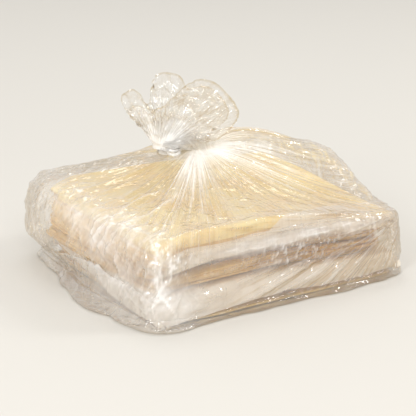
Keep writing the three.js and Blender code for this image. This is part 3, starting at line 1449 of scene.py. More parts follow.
@dataclass
class FilmLooks:
    """How milky the finished body of the bag is and how much painted shade it has, place by place."""

    places: Array
    patterns: FilmPatterns
    bag: "FilmBag"

    def __post_init__(self) -> None:
        """Measures the finished shape."""
        x, y, z = np.moveaxis(self.places, -1, 0)
        zones = self.patterns.zones
        self.creases = smoothstep(120.0, 1400.0, self.curvature())
        self.distance = np.linalg.norm(self.places - self.bag.foot_at, axis=2)
        reach = 0.050 + 0.042 * zones.sector
        self.gather = np.clip(1 - (self.distance - 0.012) / reach, 0.0, 1.0) ** 1.1
        self.plain = 1.0 - 0.72 * zones.leftward
        self.tension = self.bag.front_tension(self.places)
        self.front = smoothstep(-0.084, -0.092, y) * smoothstep(0.002, 0.010, z)
        self.x, self.y, self.z = x, y, z

    def curvature(self) -> Array:
        """How sharply the film is bent across its pleats.

        Returns:
            One over the radius for each place.
        """
        after, before = np.roll(self.places, -1, axis=1), np.roll(self.places, 1, axis=1)
        across = after - before
        second = after + before - 2 * self.places
        normals = grid_normals(self.places, True)
        bent = np.abs(np.einsum("rci,rci->rc", second, normals))
        return bent / (0.25 * np.einsum("rci,rci->rc", across, across) + 1e-10)

    def tent_veil(self) -> Array:
        """The white rays of the tent, the white foot of the neck and the dense column at the front left.

        Returns:
            How milky each place is.
        """
        zones = self.patterns.zones
        # The white is weaker on the tent's right, which faces the lights: painted shade.
        rightward = 1 - 0.4 * toward(zones.turn, 15, 0.2, 0.9)
        streaks = 0.35 + 0.55 * zones.middle + 0.55 * zones.fine
        near = 0.70 * self.gather * streaks * (0.4 + 0.6 * zones.sector)
        far = zones.sector * (0.20 * zones.middle + 0.16 * zones.fine) * smoothstep(-0.05, 0.12, zones.share)
        rays = self.plain * rightward * (near + far)
        core = (0.38 + 0.12 * self.plain) * rightward * smoothstep(0.040, 0.012, self.distance)
        column = zones.bundle * smoothstep(0.085, 0.020, self.distance) * (0.30 + 0.25 * streaks)
        return zones.tent * (rays + core + column)

    def veil(self) -> Array:
        """How milky the film is, with white lines of painted highlight on the left end, in the crinkled
        patches and through the milky patches.

        Returns:
            0 to 0.9 for each place.
        """
        zones, drawn = self.patterns.zones, self.patterns
        in_sector = 1 - 0.8 * zones.tent * (1 - zones.sector)
        veil = 0.04 + 0.05 * drawn.cloudy + 0.28 * self.creases * (1 - zones.knot) * in_sector
        veil = veil + self.tent_veil()
        away = smoothstep(0.03, 0.10, np.abs(self.x + 0.01) - 0.2 * self.y)
        clearer = 1.0 - 0.6 * smoothstep(0.064, 0.054, self.z) * away
        veil = veil + zones.knot * (0.36 + 0.34 * zones.middle) + 0.10 * zones.side * clearer
        skirt = smoothstep(2.0, 3.0, zones.row) * smoothstep(8.5, 6.5, zones.row)
        veil = veil + 0.18 * skirt * (1 - 0.7 * smoothstep(-0.080, -0.092, self.y))
        veil = veil + 0.30 * drawn.leaf + drawn.crushed * (0.09 * drawn.ridges + 0.05 * drawn.dents)
        veil = veil + 0.12 * self.tension
        # Painted highlight: white glint lines on the film at the left end.
        left_end = smoothstep(0.098, 0.112, -self.x) * smoothstep(0.5, 0.8, drawn.cloudy)
        veil = veil + 0.45 * drawn.glints * zones.side * left_end
        veil = veil * (1 - 0.45 * np.clip(drawn.crinkled, 0.0, 1.0))
        # Painted highlight: white glint lines in the crinkled patches.
        veil = veil + 0.38 * drawn.crinkled * smoothstep(0.5, 0.95, drawn.crinkles)
        # The milky patches are streaked with slanting strokes, partly painted highlight.
        for patch in self.bag.milky_patches:
            veil = veil + patch.at(self.places) * (0.75 + 0.45 * drawn.strokes)
        return np.clip(veil, 0.0, 0.9)

    def shade(self) -> Array:
        """How much painted shade the film gets: golden-brown darkening along seams, creases, pleat valleys,
        tension folds and crinkles, and in shaded patches.

        Returns:
            An amount for each place.
        """
        zones, drawn, bag = self.patterns.zones, self.patterns, self.bag
        shade = 0.16 * drawn.seams * zones.side * drawn.at_end + 0.25 * self.creases * zones.side
        between = zones.fine * (1 - zones.middle) * (0.45 + 0.55 * self.plain)
        shade = shade + 0.36 * zones.tent * zones.fade * between
        shade = shade + bag.shaded_neck.at(self.places) * zones.tent
        shade = shade + 0.5 * self.tension * (1 - self.tension) + bag.shaded_end.at(self.places)
        shade = shade + 0.22 * drawn.crinkled + bag.shaded_band.at(self.places) * self.front
        shade = shade + bag.shaded_lip.at(self.places)
        return shade + 0.3 * drawn.crinkled * drawn.fine_crinkles

    def rays(self) -> Array:
        """Where the finish draws streaks out from the neck.

        Returns:
            0 to 1 for each place.
        """
        zones = self.patterns.zones
        over_edge = smoothstep(7.5, 10.0, zones.row) * smoothstep(19.4, 18.4, zones.row)
        strong = np.clip(0.15 + 0.6 * self.gather + 0.5 * zones.sector, 0.0, 1.0)
        on_tent = 0.55 + 0.45 * smoothstep(0.0, 0.12, zones.share)
        return over_edge * self.plain * zones.fade * strong * on_tent

    def pull(self) -> Array:
        """Where the finish draws streaks out from the right top corner of the front."""
        return self.front * smoothstep(-0.120, 0.020, self.x)


@dataclass
class FilmBag:
    """The clear bag: base, skirt, sides, pleated tent, knot and the open frill above it."""

    plan: StackPlan
    columns: int = 300
    rest_steps: int = 110
    detail_steps: int = 12
    frill_columns: int = 400
    frill_rows: int = 56
    frill_steps: int = 60
    knot_columns: int = 260
    knot_rows: int = 72
    knot_at: float = 0.72
    knot_ring: float = 0.0078
    knot_thickness: float = 0.0045
    foot: Triple = (-0.003, 0.030, 0.0935)
    neck_bend: Triple = (-0.011, 0.031, 0.1015)
    throat: Triple = (-0.032, 0.037, 0.099)
    throat_way: Triple = (-0.74, 0.42, 0.52)
    knot_twist: float = 0.9
    foot_radius: float = 0.0115
    knot_radius: float = 0.0135
    throat_radius: float = 0.0080
    fan_turn: float = math.radians(-31)
    fan_middle: float = math.radians(71)
    fan_half_spread: float = math.radians(66)
    fan_half_thickness: float = 0.009
    side_standoff: float = 0.0045
    side_puffs: tuple[Swelling, ...] = (
        Swelling(0.018, 160, 27),
        Swelling(0.006, 95, 34),
        Swelling(0.007, 12, 24),
        Swelling(0.002, 318, 20),
    )
    skirt_reach: float = 0.0055
    skirt_flaps: tuple[Swelling, ...] = (
        Swelling(0.022, 186, 25),
        Swelling(0.005, 258, 24),
        Swelling(0.008, 292, 10),
        Swelling(0.004, 318, 9),
        Swelling(0.005, 20, 25),
        Swelling(0.008, 122, 22),
    )
    edge_clearance: float = 0.003
    edge_rises: tuple[Swelling, ...] = (
        Swelling(0.011, 112, 45),
        Swelling(0.021, 4, 20),
        Swelling(-0.015, 322, 20),
        Swelling(0.006, 60, 7),
        Swelling(0.006, 36, 6),
    )
    front_lobes: tuple[Swelling, ...] = (Swelling(0.037, 36, 33), Swelling(0.022, 121, 11))
    back_lobes: tuple[Swelling, ...] = (
        Swelling(0.029, 34, 27),
        Swelling(0.025, 85, 15),
        Swelling(0.006, 136, 12),
    )
    shortest_lobe: float = 0.032
    tent_sag: float = 1.85
    soft_landing: float = 0.0022
    tent_puff: Swelling = Swelling(0.008, 95, 42)
    tent_hump: Swelling = Swelling(0.012, 2, 36)
    leaf_centre: tuple[float, float] = (-0.080, -0.028)
    tension_corner: tuple[float, float] = (0.112, 0.052)
    tension_folds: tuple[float, ...] = (2.5, 6.0, 10.0, 15.5, 21.0, 28.0, 36.0)
    # Patches of painted shade: left of the neck, at the right end, on the draped sheet's lip and in a band
    # across the front.
    shaded_neck: FilmPatch = FilmPatch((-0.046, 0.030, 0.076), (0.024, 0.026, 0.018), 0.35)
    shaded_end: FilmPatch = FilmPatch((0.095, -0.095, 0.030), (0.060, 0.030, 0.040), 0.22)
    shaded_lip: FilmPatch = FilmPatch((-0.060, -0.097, 0.060), (0.065, 0.012, 0.009), 0.16)
    shaded_band: FilmPatch = FilmPatch((0.030, -0.096, 0.029), (0.060, 0.020, 0.006), 0.30)
    crushed_corner: FilmPatch = FilmPatch((-0.110, -0.098, 0.034), (0.018, 0.015, 0.030), 1.0)
    # Crumpled patches, which the looks also give painted shade and white lines of painted highlight.
    crinkled_patches: tuple[FilmPatch, ...] = (
        FilmPatch((0.014, -0.096, 0.039), (0.040, 0.016, 0.010), 1.0),
        FilmPatch((-0.100, -0.094, 0.050), (0.014, 0.016, 0.010), 1.0),
        FilmPatch((-0.112, -0.060, 0.050), (0.012, 0.030, 0.012), 0.5),
    )
    milky_patches: tuple[FilmPatch, ...] = (
        FilmPatch((-0.112, -0.050, 0.058), (0.014, 0.034, 0.018), 0.34),
        FilmPatch((-0.118, 0.017, 0.057), (0.020, 0.045, 0.013), 0.42),
        FilmPatch((0.000, -0.096, 0.0500), (0.085, 0.016, 0.0055), 0.45),
        FilmPatch((-0.118, -0.017, 0.048), (0.020, 0.026, 0.014), 0.34),
        FilmPatch((-0.110, -0.098, 0.036), (0.020, 0.018, 0.034), 0.22),
        FilmPatch((-0.118, -0.055, 0.030), (0.022, 0.036, 0.022), 0.30),
        FilmPatch((-0.100, -0.098, 0.018), (0.024, 0.014, 0.016), 0.35),
    )

    def __post_init__(self) -> None:
        """Spreads the columns round the stack's outline, a little closer at its corners."""
        spread = 0.022
        straight_x = self.plan.length / 2 - self.plan.corner
        straight_y = self.plan.width / 2 - self.plan.corner
        arc = math.pi / 2 * spread
        half_way = [straight_y, arc, 2 * straight_x, arc]
        lengths = np.array([*half_way, 2 * straight_y, arc, 2 * straight_x, arc, straight_y])
        stops = np.concatenate([[0.0], np.cumsum(lengths)])
        along = np.arange(self.columns) / self.columns * stops[-1]
        core_x = np.array([1, 1, 1, -1, -1, -1, -1, 1, 1, 1]) * straight_x
        core_y = np.array([0, 1, 1, 1, 1, -1, -1, -1, -1, 0]) * straight_y
        facing = np.array([0, 0, 1, 1, 2, 2, 3, 3, 4, 4]) * math.pi / 2
        self.core = np.stack([np.interp(along, stops, core_x), np.interp(along, stops, core_y)], axis=1)
        turn = np.interp(along, stops, facing)
        self.outwards = np.stack([np.cos(turn), np.sin(turn)], axis=1)
        plain = self.core + self.outwards * self.plan.corner
        self.angle = np.arctan2(plain[:, 1], plain[:, 0])
        self.foot_at, self.throat_at = np.array(self.foot), np.array(self.throat)
        self.around = np.unwrap(np.arctan2(plain[:, 1] - self.foot[1], plain[:, 0] - self.foot[0]))

    def ring(self, offset: Array | float, height: Array | float) -> Array:
        """A ring round the stack.

        Args:
            offset: How far it stands outside the stack's outline.
            height: Its height above the table.

        Returns:
            One place for each column, relative to the stack's centre.
        """
        reach = (self.plan.corner + np.broadcast_to(offset, self.columns))[:, None]
        flat = self.core + self.outwards * reach
        return np.column_stack([flat, np.broadcast_to(height, self.columns)])

    def neck_ring(self, radius: float, share: float) -> Array:
        """A round ring of the twisted neck.

        Args:
            radius: Its radius.
            share: 0 at the tent's foot, 1 at the throat.

        Returns:
            One place for each column.
        """
        turn = self.around + self.knot_twist * share
        centre, tilt = self.neck_frame(share)
        spokes = np.column_stack([np.cos(turn), np.sin(turn), np.zeros(self.columns)])
        return centre + radius * spokes @ tilt.T

    def neck_frame(self, share: float) -> tuple[Array, Array]:
        """Where the neck runs: up from the tent and then over to the left.

        Args:
            share: 0 at the tent's foot, 1 at the throat.

        Returns:
            The middle of the neck there, and the rotation that leans an upright neck into its direction.
        """
        bend = np.array(self.neck_bend)
        centre = (1 - share) ** 2 * self.foot_at + 2 * share * (1 - share) * bend + share**2 * self.throat_at
        way = Vector((0.0, 0.0, 1.0)).lerp(Vector(self.throat_way).normalized(), share)
        return centre, np.array(Vector((0.0, 0.0, 1.0)).rotation_difference(way).to_matrix())

    def edge_height(self) -> Array:
        """How high the film runs over the stack's top edge, for each column."""
        return self.plan.height + self.edge_clearance + swell(self.edge_rises, self.angle)

    def tent_ring(self, share: float) -> Array:
        """A ring of the tent of film between the top edge and the neck.

        Args:
            share: 0 at the edge, 1 at the neck.

        Returns:
            One place for each column.
        """
        edge = self.ring(-0.005, self.edge_height())
        foot = self.neck_ring(self.foot_radius, 0.0)
        place = edge + (foot - edge) * share
        slack = 4 * share * (1 - share)
        place[:, 2] = edge[:, 2] + share**self.tent_sag * (foot[:, 2] - edge[:, 2])
        place[:, 2] += slack * self.tent_puff.at(self.around)
        place[:, 2] += 6.75 * share**2 * (1 - share) * self.tent_hump.at(self.around)
        if share > 0.05:
            top = self.plan.slumped_top(self.plan.main_block, place[:, 0], place[:, 1])
            place[:, 2] = top + self.soft_landing * np.log1p(np.exp((place[:, 2] - top) / self.soft_landing))
        return place

    def body_grid(self) -> tuple[Array, Array]:
        """The bag's smooth form up to the throat.

        Returns:
            The places as rows by columns by 3, and for each row where it is among the key rings.
        """
        places = self.ring(0.0, 0.0)
        reach = self.skirt_reach + swell(self.skirt_flaps, self.angle)
        reach = reach + 0.003 * lattice_noise(places, 0.030, 41) + 0.0015 * lattice_noise(places, 0.011, 42)
        reach = np.maximum(reach, 0.002)
        stand = self.side_standoff + swell(self.side_puffs, self.angle)
        stand = stand + 0.0025 * lattice_noise(places, 0.040, 43)
        edge = self.edge_height()
        tall = self.plan.height
        rings = [
            (self.ring(-0.020, FLAT_FILM), 3),
            (self.ring(-0.003, FLAT_FILM), 2),
            (self.ring(0.6 * reach, FLAT_FILM), 3),
            (self.ring(reach, TABLE_GAP), 1),
            (self.ring(reach + 0.0004, 0.0014), 3),
            (self.ring(0.84 * reach, 0.0030 + 0.26 * reach), 3),
            (self.ring(0.001 + 0.64 * reach, 0.0042 + 0.30 * reach), 4),
            (self.ring(0.001 + 0.3 * reach + 0.55 * stand, 0.0110 + 0.62 * reach), 5),
            (self.ring(stand, 0.45 * tall), 5),
            (self.ring(0.9 * stand, 0.72 * edge), 4),
            (self.ring(0.5 * stand, 0.93 * edge), 4),
        ]
        rings += [(self.tent_ring(share), 4) for share in (0.0, 0.12, 0.26, 0.4, 0.54, 0.68, 0.8, 0.9)]
        rings += [
            (self.neck_ring(self.foot_radius, 0.0), 2),
            (self.neck_ring(self.knot_radius, 0.33), 2),
            (self.neck_ring(0.97 * self.knot_radius, 0.66), 2),
            (self.neck_ring(self.throat_radius, 1.0), 0),
        ]
        return loft([ring for ring, _ in rings], [rows for _, rows in rings])

    def leaf_fold(self, places: Array) -> Array:
        """The rim of a leaf-shaped fold that lies on the tent to the left of the knot.

        Args:
            places: Places relative to the stack's centre.

        Returns:
            1 on the fold's rim and 0 away from it.
        """
        x, y = places[:, :, 0] - self.leaf_centre[0], places[:, :, 1] - self.leaf_centre[1]
        turn = math.radians(23)
        along = (x * math.cos(turn) + y * math.sin(turn)) / 0.030
        half_width = 0.0125 * np.sqrt(np.clip(1.3 - 0.5 * along, 0.3, 2.0))
        across = (y * math.cos(turn) - x * math.sin(turn)) / half_width
        return np.exp(-(((np.hypot(along, across) - 1.0) / 0.12) ** 2)) * smoothstep(1.0, 0.5, along)

    def front_tension(self, places: Array) -> Array:
        """Long folds that run down across the front from its right top corner.

        Args:
            places: The bag's form.

        Returns:
            For each place 1 on a fold's crest and 0 away from the folds.
        """
        left = self.tension_corner[0] - places[:, :, 0]
        down = self.tension_corner[1] - places[:, :, 2]
        slope = np.degrees(np.arctan2(down, np.maximum(left, 1e-4)))
        far = np.hypot(left, down)
        folds = [(slope - fold) / (0.55 + 0.02 * fold) for fold in self.tension_folds]
        rise = sum(np.exp(-0.5 * away**2) for away in folds)
        is_front = smoothstep(-0.086, -0.092, places[:, :, 1]) * smoothstep(0.004, 0.012, places[:, :, 2])
        return rise * smoothstep(0.002, 0.030, far) * smoothstep(0.220, 0.130, far) * is_front

    def build_body(self, finish: bpy.types.Material) -> bpy.types.Object:
        """Models the bag up to the knot: its form, its folds, and where it looks milky.

        Args:
            finish: The film material.

        Returns:
            The film.
        """
        coarse, belongs = self.body_grid()
        rested = self.rest_body(coarse, FilmZones(belongs[:, None], self.around))
        full_turn = np.append(self.around, self.around[0] + 2 * math.pi)
        zones = FilmZones(refine_axis(belongs, 2, False)[:, None], refine_axis(full_turn, 2, False)[:-1])
        fine = refine_grid(rested, 2, 2, True)
        patterns = FilmPatterns(fine, zones, self)
        start = fine + grid_normals(fine, True) * patterns.relief()[:, :, None]
        hold = 0.12 + zones.knot + zones.base + 0.5 * smoothstep(0.75, 0.95, zones.share)
        cloth = GridCloth(start, True, 1.004, 1.004, start, np.clip(hold, 0.0, 1.0), bend=0.2)
        places = cloth.relax(self.detail_steps, self.plan.keep_outside)
        looks = FilmLooks(places, patterns, self)
        drawn = {Look.SHADE: looks.shade(), Look.RAYS: looks.rays(), Look.PULL: looks.pull()}
        return self._make_piece("film_body", places, looks.veil(), finish, drawn, close_base=True)

    def rest_body(self, places: Array, zones: FilmZones) -> Array:
        """Lets the bag's form sink onto the stack, with its coarse pleats and a little slack at the sides.

        Args:
            places: The smooth form.
            zones: Its zones.

        Returns:
            The rested form.
        """
        row, tent = zones.row, zones.tent
        opened = smoothstep(-0.05, 0.35, zones.share)
        crests = pleats(zones.turn, 31, 2.0, 1)
        swing = 0.0040 * (0.3 + 0.7 * zones.sector) * crests * opened * zones.fade * tent
        swing = swing + 0.0020 * self.front_tension(places)
        home = places + grid_normals(places, True) * swing[:, :, None]
        uneven = 0.0006 * lattice_noise(home, 0.010, 51) + 0.0024 * lattice_noise(home, 0.026, 52)
        start = home + grid_normals(home, True) * uneven[:, :, None] * (1 - 0.85 * tent)[:, :, None]
        lifted = toward(zones.turn, 2, 0.75, 0.97) * smoothstep(8.0, 9.5, row)
        hold = 0.015 + 0.03 * tent + 0.25 * smoothstep(15.5, 18.8, row) + smoothstep(18.0, 19.5, row)
        hold = hold + zones.base + 0.03 * smoothstep(7.0, 4.0, row) + 0.12 * lifted
        cloth = GridCloth(
            start,
            True,
            across_slack=1.006 + 0.040 * zones.side,
            along_slack=1.002 + 0.025 * zones.side,
            home=home,
            hold=np.clip(hold, 0.0, 1.0),
            bend=0.14,
            gravity=0.000004,
        )
        rested = cloth.relax(self.rest_steps, self.plan.keep_outside)
        for _ in range(2):
            beside = (np.roll(rested, 1, axis=1) + np.roll(rested, -1, axis=1)) / 2
            rested = rested + (0.5 * (beside - rested)) * (1 - tent[:, :, None])
        return rested

    def frill_grid(self, around: Array, shares: Array, direction: Array) -> Array:
        """The smooth form of the open mouth of the bag: a fan of two layers that are joined at their sides.

        Args:
            around: Each column's place round the mouth, in radians.
            shares: For each row 0 at the throat and 1 at the rim; below 0 it is inside the throat.
            direction: Each column's direction in the fan, in radians.

        Returns:
            The places as rows by columns by 3.
        """
        across, through = np.cos(around), np.sin(around)
        is_front = smoothstep(0.15, -0.15, through)
        full = self.shortest_lobe + swell(self.front_lobes, direction, 4.0) * is_front
        full = full + swell(self.back_lobes, direction, 4.0) * (1 - is_front)
        full = full * (0.75 + 0.25 * smoothstep(math.radians(4), math.radians(26), direction))
        pleat, fine = pleats(around, 19, 1.5, 6) - 0.4, pleats(around, 61, 1.5, 7) - 0.4
        cos_turn, sin_turn = math.cos(self.fan_turn), math.sin(self.fan_turn)
        rings = []
        for share in shares:
            part = max(share, 0.0)
            opened = math.sin(math.pi * 0.6 * part) ** 0.8 if share > 0 else 0.0
            thickness = self.fan_half_thickness * (0.8 + 0.4 * np.cos(3 * direction)) * opened
            narrow = self.throat_radius * (1 - part) ** 2
            side = part * full * np.cos(direction) + narrow * across
            depth = (thickness + narrow) * through + opened * (0.004 * pleat + 0.0016 * fine * (1 - share))
            depth = depth - 0.007 * part**2 * is_front + 0.005 * part**2 * (1 - is_front)
            rise = part * full * np.sin(direction) + min(share, 0.0) * 0.04
            x = self.throat[0] + side * cos_turn - depth * sin_turn
            y = self.throat[1] + side * sin_turn + depth * cos_turn
            rings.append(np.column_stack([x, y, self.throat[2] + rise]))
        return np.array(rings)

    def build_frill(self, finish: bpy.types.Material) -> bpy.types.Object:
        """Models the open mouth of the bag above the knot: a crumpled fan of lobes.

        Args:
            finish: The film material.

        Returns:
            The frill.
        """
        around = np.arange(self.frill_columns) / self.frill_columns * 2 * math.pi
        shares = np.linspace(-0.08, 1.0, self.frill_rows)
        direction = self.fan_middle - self.fan_half_spread * np.cos(around)
        home = self.frill_grid(around, shares, direction)
        share = shares[:, None]
        uneven = 0.0008 * lattice_noise(home, 0.005, 61) * smoothstep(0.1, 0.5, share)
        start = home + grid_normals(home, True) * uneven[:, :, None]
        hold = np.clip(0.03 + smoothstep(0.25, 0.0, share), 0.0, 1.0)
        slack = 1.0 + 0.14 * smoothstep(0.15, 1.0, share)
        cloth = GridCloth(start, True, slack, 1.03, home, hold, bend=0.06)
        places = cloth.relax(self.frill_steps, self.plan.keep_outside)
        marble = crease_noise(places, 0.0055, 63) + 0.6 * lattice_noise(places, 0.004, 64)
        marble -= 0.9 * crumple(places, 0.013, 65, 0.12)
        relief = 0.0011 * marble * smoothstep(0.05, 0.4, share)
        places = places + grid_normals(places, True) * relief[:, :, None]
        streaks = 0.3 + 0.5 * pleats(around, 61, 1.5, 7) + 0.4 * pleats(around, 109, 1.5, 8)
        whiter = 0.35 * np.exp(-(((direction - math.radians(102)) / 0.40) ** 2))
        veil = 0.13 + 0.85 * smoothstep(0.62 + whiter, 0.05, share) * (streaks + whiter)
        veil = veil + 0.7 * smoothstep(0.22, 0.05, share) + 0.05 * pleats(around, 19, 1.5, 6)
        # Painted shade: the frill darkens with its marbled wrinkles, less towards its left end, and strongly
        # along its rim, which draws the dark outlines of the lobes.
        shade = (0.08 + 0.22 * smoothstep(0.1, 0.9, np.abs(marble))) * smoothstep(0.1, 0.5, share)
        shade = shade * (1 - 0.7 * smoothstep(math.radians(110), math.radians(140), direction))
        shade = shade + 0.55 * smoothstep(0.968, 0.986, share)
        veil = np.clip(veil, 0.0, 0.88)
        return self._make_piece("film_frill", places, veil, finish, {Look.SHADE: shade}, close_base=False)

    def build_knot(self, finish: bpy.types.Material) -> bpy.types.Object:
        """Models the twisted band of bunched film that ties the neck.

        Args:
            finish: The film material.

        Returns:
            The knot.
        """
        turn = np.arange(self.knot_columns) / self.knot_columns * 2 * math.pi
        section = (np.arange(self.knot_rows) / self.knot_rows * 2 * math.pi)[:, None]
        middle, tilt = self.neck_frame(self.knot_at)
        lump = 1.0 + 0.22 * np.sin(2 * turn + 0.6) + 0.20 * np.sin(5 * turn + 2.0)
        strand = section + 2.2 * turn
        twist = 0.0006 * np.cos(9 * strand) + 0.0003 * np.cos(23 * strand + 1.0)
        radius = self.knot_thickness * lump + twist
        ring = self.knot_ring + radius * np.cos(section)
        lift = 1.05 * radius * np.sin(section) + 0.0026 * np.sin(turn + 1.2)
        places = middle + np.stack([ring * np.cos(turn), ring * np.sin(turn), lift], axis=2) @ tilt.T
        relief = 0.0009 * lattice_noise(places, 0.006, 71)
        places = (places + grid_normals(places, True) * relief[:, :, None])[::-1]
        veil = np.clip(0.9 + 0.06 * np.cos(9 * strand), 0.3, 0.96)
        places, veil = (np.concatenate([each, each[:1]], axis=0) for each in (places, veil))
        return self._make_piece("film_knot", places, veil, finish, {}, close_base=False)

    def _make_piece(
        self,
        name: str,
        places: Array,
        veil: Array,
        finish: bpy.types.Material,
        looks: dict[Look, Array],
        close_base: bool,
    ) -> bpy.types.Object:
        """Turns a closed grid into a piece of film and dresses it.

        Args:
            name: The piece's name.
            places: Rows by columns by 3, relative to the stack's centre.
            veil: Rows by columns, how milky the film is.
            finish: The film material.
            looks: The other mesh attributes that the finish reads, as rows by columns.
            close_base: Whether the first row is closed with a fan.

        Returns:
            The piece.
        """
        rows, columns = veil.shape
        centre = np.array([self.plan.centre_x, self.plan.centre_y, 0.0])
        points = places.reshape(-1, 3) + centre
        column = np.arange(columns)
        following = (column + 1) % columns
        low = (np.arange(rows - 1) * columns)[:, None]
        corners = [low + column, low + following, low + columns + following, low + columns + column]
        faces = np.stack(corners, axis=2).reshape(-1, 4).tolist()
        if close_base:
            points = np.vstack([points, centre + np.array([0.0, 0.0, TABLE_GAP])])
            faces += [(len(points) - 1, int(after), int(here)) for here, after in zip(column, following)]
        mesh = bpy.data.meshes.new(name)
        mesh.from_pydata(points.tolist(), [], faces)
        mesh.update()
        for look, amount in {Look.VEIL: veil, **looks}.items():
            values = np.broadcast_to(amount, veil.shape).ravel()
            values = np.append(values, [0.0] * (len(points) - len(values)))
            attribute = mesh.attributes.new(look.value, "FLOAT", "POINT")
            attribute.data.foreach_set("value", values.astype(np.float32))
        film = bpy.data.objects.new(name, mesh)
        bpy.context.scene.collection.objects.link(film)
        film.data.materials.append(finish)
        select_only(film)
        if not close_base:
            bpy.ops.object.mode_set(mode="EDIT")
            bpy.ops.mesh.select_all(action="SELECT")
            bpy.ops.mesh.remove_doubles(threshold=1e-7)
            bpy.ops.object.mode_set(mode="OBJECT")
        bpy.ops.object.shade_smooth()
        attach(film, "root")
        return film

    def build(self, finish: bpy.types.Material) -> list[bpy.types.Object]:
        """Models the whole bag.

        Args:
            finish: The film material.

        Returns:
            The body, the knot and the frill.
        """
        body = self.build_body(finish)
        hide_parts("filled_bag")
        return [body, self.build_knot(finish), self.build_frill(finish)]


# ---------------------------------------------------------------------------------------------------------
# Studio
# ---------------------------------------------------------------------------------------------------------


@dataclass
class Studio:
    """The pale floor and backdrop, the soft lights and the camera."""

    floor_colour: Colour = (0.618, 0.597, 0.556, 1.0)
    azimuth: float = math.radians(-32.0)
    elevation: float = math.radians(17.6)
    distance: float = 0.988
    target: Triple = (0.0094, 0.0138, 0.0434)
    view_angle: float = math.radians(20.0)

    def floor(self) -> bpy.types.Object:
        """The floor, which sweeps up into a backdrop far behind.

        Returns:
            The floor.
        """
        bpy.ops.object.select_all(action="DESELECT")
        bpy.ops.mesh.primitive_plane_add(size=14.0, location=(0.0, 0.0, -0.0002))
        floor = bpy.context.active_object
        floor.name = "floor"
        material, board = new_material("pale_floor")
        shader = board.add("ShaderNodeBsdfPrincipled", Base_Color=self.floor_colour, Roughness=0.6)
        shader.inputs["Specular IOR Level"].default_value = 0.2
        board.add("ShaderNodeOutputMaterial", Surface=shader.outputs[0])
        floor.data.materials.append(material)
        return floor

    def softbox(
        self, name: str, place: Triple, size: tuple[float, float], power: float
    ) -> bpy.types.Object:
        """One rectangular area light that faces the pack.

        Args:
            name: Its name.
            place: Where it hangs.
            size: Its width and height.
            power: Its power in watts.

        Returns:
            The light.
        """
        bpy.ops.object.light_add(type="AREA", location=place)
        light = bpy.context.active_object
        light.name = name
        light.data.shape = "RECTANGLE"
        light.data.size, light.data.size_y = size
        light.data.energy = power
        light.rotation_mode = "QUATERNION"
        aim = Vector((0.0, 0.0, 0.05)) - Vector(place)
        light.rotation_quaternion = aim.to_track_quat("-Z", "Y")
        return light

    def lights(self) -> None:
        """Sets the softboxes and the sky."""
        self.softbox("top_softbox", (0.45, 0.95, 2.3), (1.0, 0.8), 8.0)
        self.softbox("right_softbox", (1.9, -1.1, 1.6), (0.55, 0.55), 16.0)
        self.softbox("front_softbox", (-0.9, -2.1, 1.5), (1.1, 0.7), 19.0)
        self.softbox("left_softbox", (-1.9, -0.9, 1.2), (0.30, 0.9), 18.0)
        world = bpy.data.worlds.new("studio_sky")
        bpy.context.scene.world = world
        world.use_nodes = True
        background = world.node_tree.nodes["Background"]
        background.inputs["Color"].default_value = (1.0, 0.985, 0.96, 1.0)
        background.inputs["Strength"].default_value = 0.93

    def camera(self) -> bpy.types.Object:
        """The camera at the photograph's viewing angle.

        Returns:
            The camera.
        """
        flat = math.cos(self.elevation)
        x, y = math.sin(self.azimuth) * flat, -math.cos(self.azimuth) * flat
        back = Vector((x, y, math.sin(self.elevation)))
        bpy.ops.object.camera_add(location=Vector(self.target) + back * self.distance)
        camera = bpy.context.active_object
        camera.rotation_mode = "QUATERNION"
        camera.rotation_quaternion = (-back).to_track_quat("-Z", "Y")
        camera.data.lens = camera.data.sensor_width / (2 * math.tan(self.view_angle / 2))
        camera.data.clip_start = 0.05
        camera.data.clip_end = 20.0
        bpy.context.scene.camera = camera
        return camera

    def build(self) -> None:
        """Builds the studio and sets how colours and see-through layers are rendered."""
        self.floor()
        self.lights()
        self.camera()
        scene = bpy.context.scene
        scene.view_settings.view_transform = "Standard"
        scene.view_settings.look = "None"
        scene.cycles.max_bounces = 20
        scene.cycles.diffuse_bounces = 8
        scene.cycles.transparent_max_bounces = 40
        scene.cycles.sample_clamp_indirect = 6.0


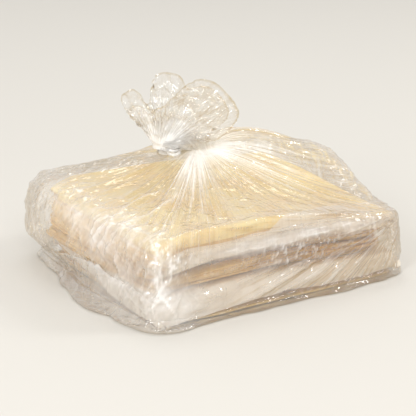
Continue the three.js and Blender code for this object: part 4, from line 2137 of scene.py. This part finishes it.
def main() -> None:
    """Builds the studio, the contents and the film, and reports each piece."""
    logging.basicConfig(level=logging.INFO, format="%(name)s: %(message)s")
    plan = StackPlan()
    Studio().build()
    pasta = PastaFinish().material()
    milky = LinerFinish().material()
    # Darker, deeper yellow than the top sheets, for the pasta whose sides show round the stack: painted
    # shade of the sides and of the gaps between the bundles.
    edges = PastaFinish("side_pasta_painted_shade", (0.78, 0.54, 0.22, 1.0), (0.62, 0.40, 0.14, 1.0)).material()
    # Darker pasta still, which is painted shade: dark sheets for the shadow line at the table and for the
    # shadowed gaps between the bundles.
    painted_shade_pasta = PastaFinish("shaded_pasta", (0.66, 0.46, 0.17, 1.0), (0.50, 0.33, 0.10, 1.0)).material()
    pieces = [
        # A thin dark sheet at the bottom: the painted shadow line where the stack meets the table.
        SheetBundle(
            plan, "bottom_sheet", 0.0010, 0.0024, 0.2190, 0.1925, shift_y=-0.0005, scatter=0.0005, seed=9
        ).build(painted_shade_pasta),
        SheetBundle(
            plan, "lower_sheets", 0.0031, 0.0235, 0.2115, 0.1775, shift_x=-0.002, turn=1.0, seed=2
        ).build(edges),
        Liner(
            plan, "lower_liner", 0.0242, 0.2130, 0.1850, 0.0205, 0.0, 0.12, 0.0022, 0.0035, 0.9, seed=4
        ).build(milky),
        # An inset dark sheet: painted shade in the gap between the lower and the middle bundle.
        SheetBundle(plan, "low_gap_sheet", 0.0249, 0.0260, 0.2020, 0.1680, seed=10).build(painted_shade_pasta),
        SheetBundle(
            plan, "middle_sheets", 0.0270, 0.0375, 0.2180, 0.1780, shift_x=-0.0065, turn=2.0, seed=3
        ).build(edges),
        # Inset dark sheets: painted shade in the gap below the upper bundle.
        SheetBundle(
            plan, "high_gap_sheets", 0.0385, 0.0420, 0.2000, 0.1710, shift_y=0.002, seed=7
        ).build(painted_shade_pasta),
        SheetBundle(
            plan, "upper_sheets", 0.0427, 0.0590, 0.2180, 0.1760, shift_x=-0.0055, turn=1.2, seed=5
        ).build(edges),
        Liner(
            plan, "upper_liner", 0.0597, 0.2130, 0.1800, 0.0135, -0.002, 0.70, left_skew=0.75, seed=6
        ).build(milky),
        SheetBundle(
            plan, "top_sheets", 0.0604, 0.0636, 0.2100, 0.1820, -0.0015, 0.001, turn=0.8, seed=8
        ).build(pasta),
        # Its darker edge shows below the draped sheet as a line of painted shade.
        drooping_sheet(
            plan, "lower_draped_sheet", 0.0654, (0.2100, 0.1812, 0.0090), 0.80, 16, 0.0014
        ).build(edges),
        drooping_sheet(plan, "draped_sheet", 0.0668, (0.2110, 0.1815, 0.0060), 1.0, 15, 0.0016).build(pasta),
        Liner(
            plan,
            "folded_liner",
            0.0680,
            0.2140,
            0.1838,
            0.0125,
            wave=0.001,
            skew=0.45,
            seed=12,
            back_middle=-0.070,
            back_slope=0.05,
            left_fall=0.42,
        ).build(milky),
        *FilmBag(plan).build(FilmFinish().material()),
    ]
    for piece in pieces:
        log.info("%s: %d faces", piece.name, len(piece.data.polygons))


if __name__ == "__main__":
    main()
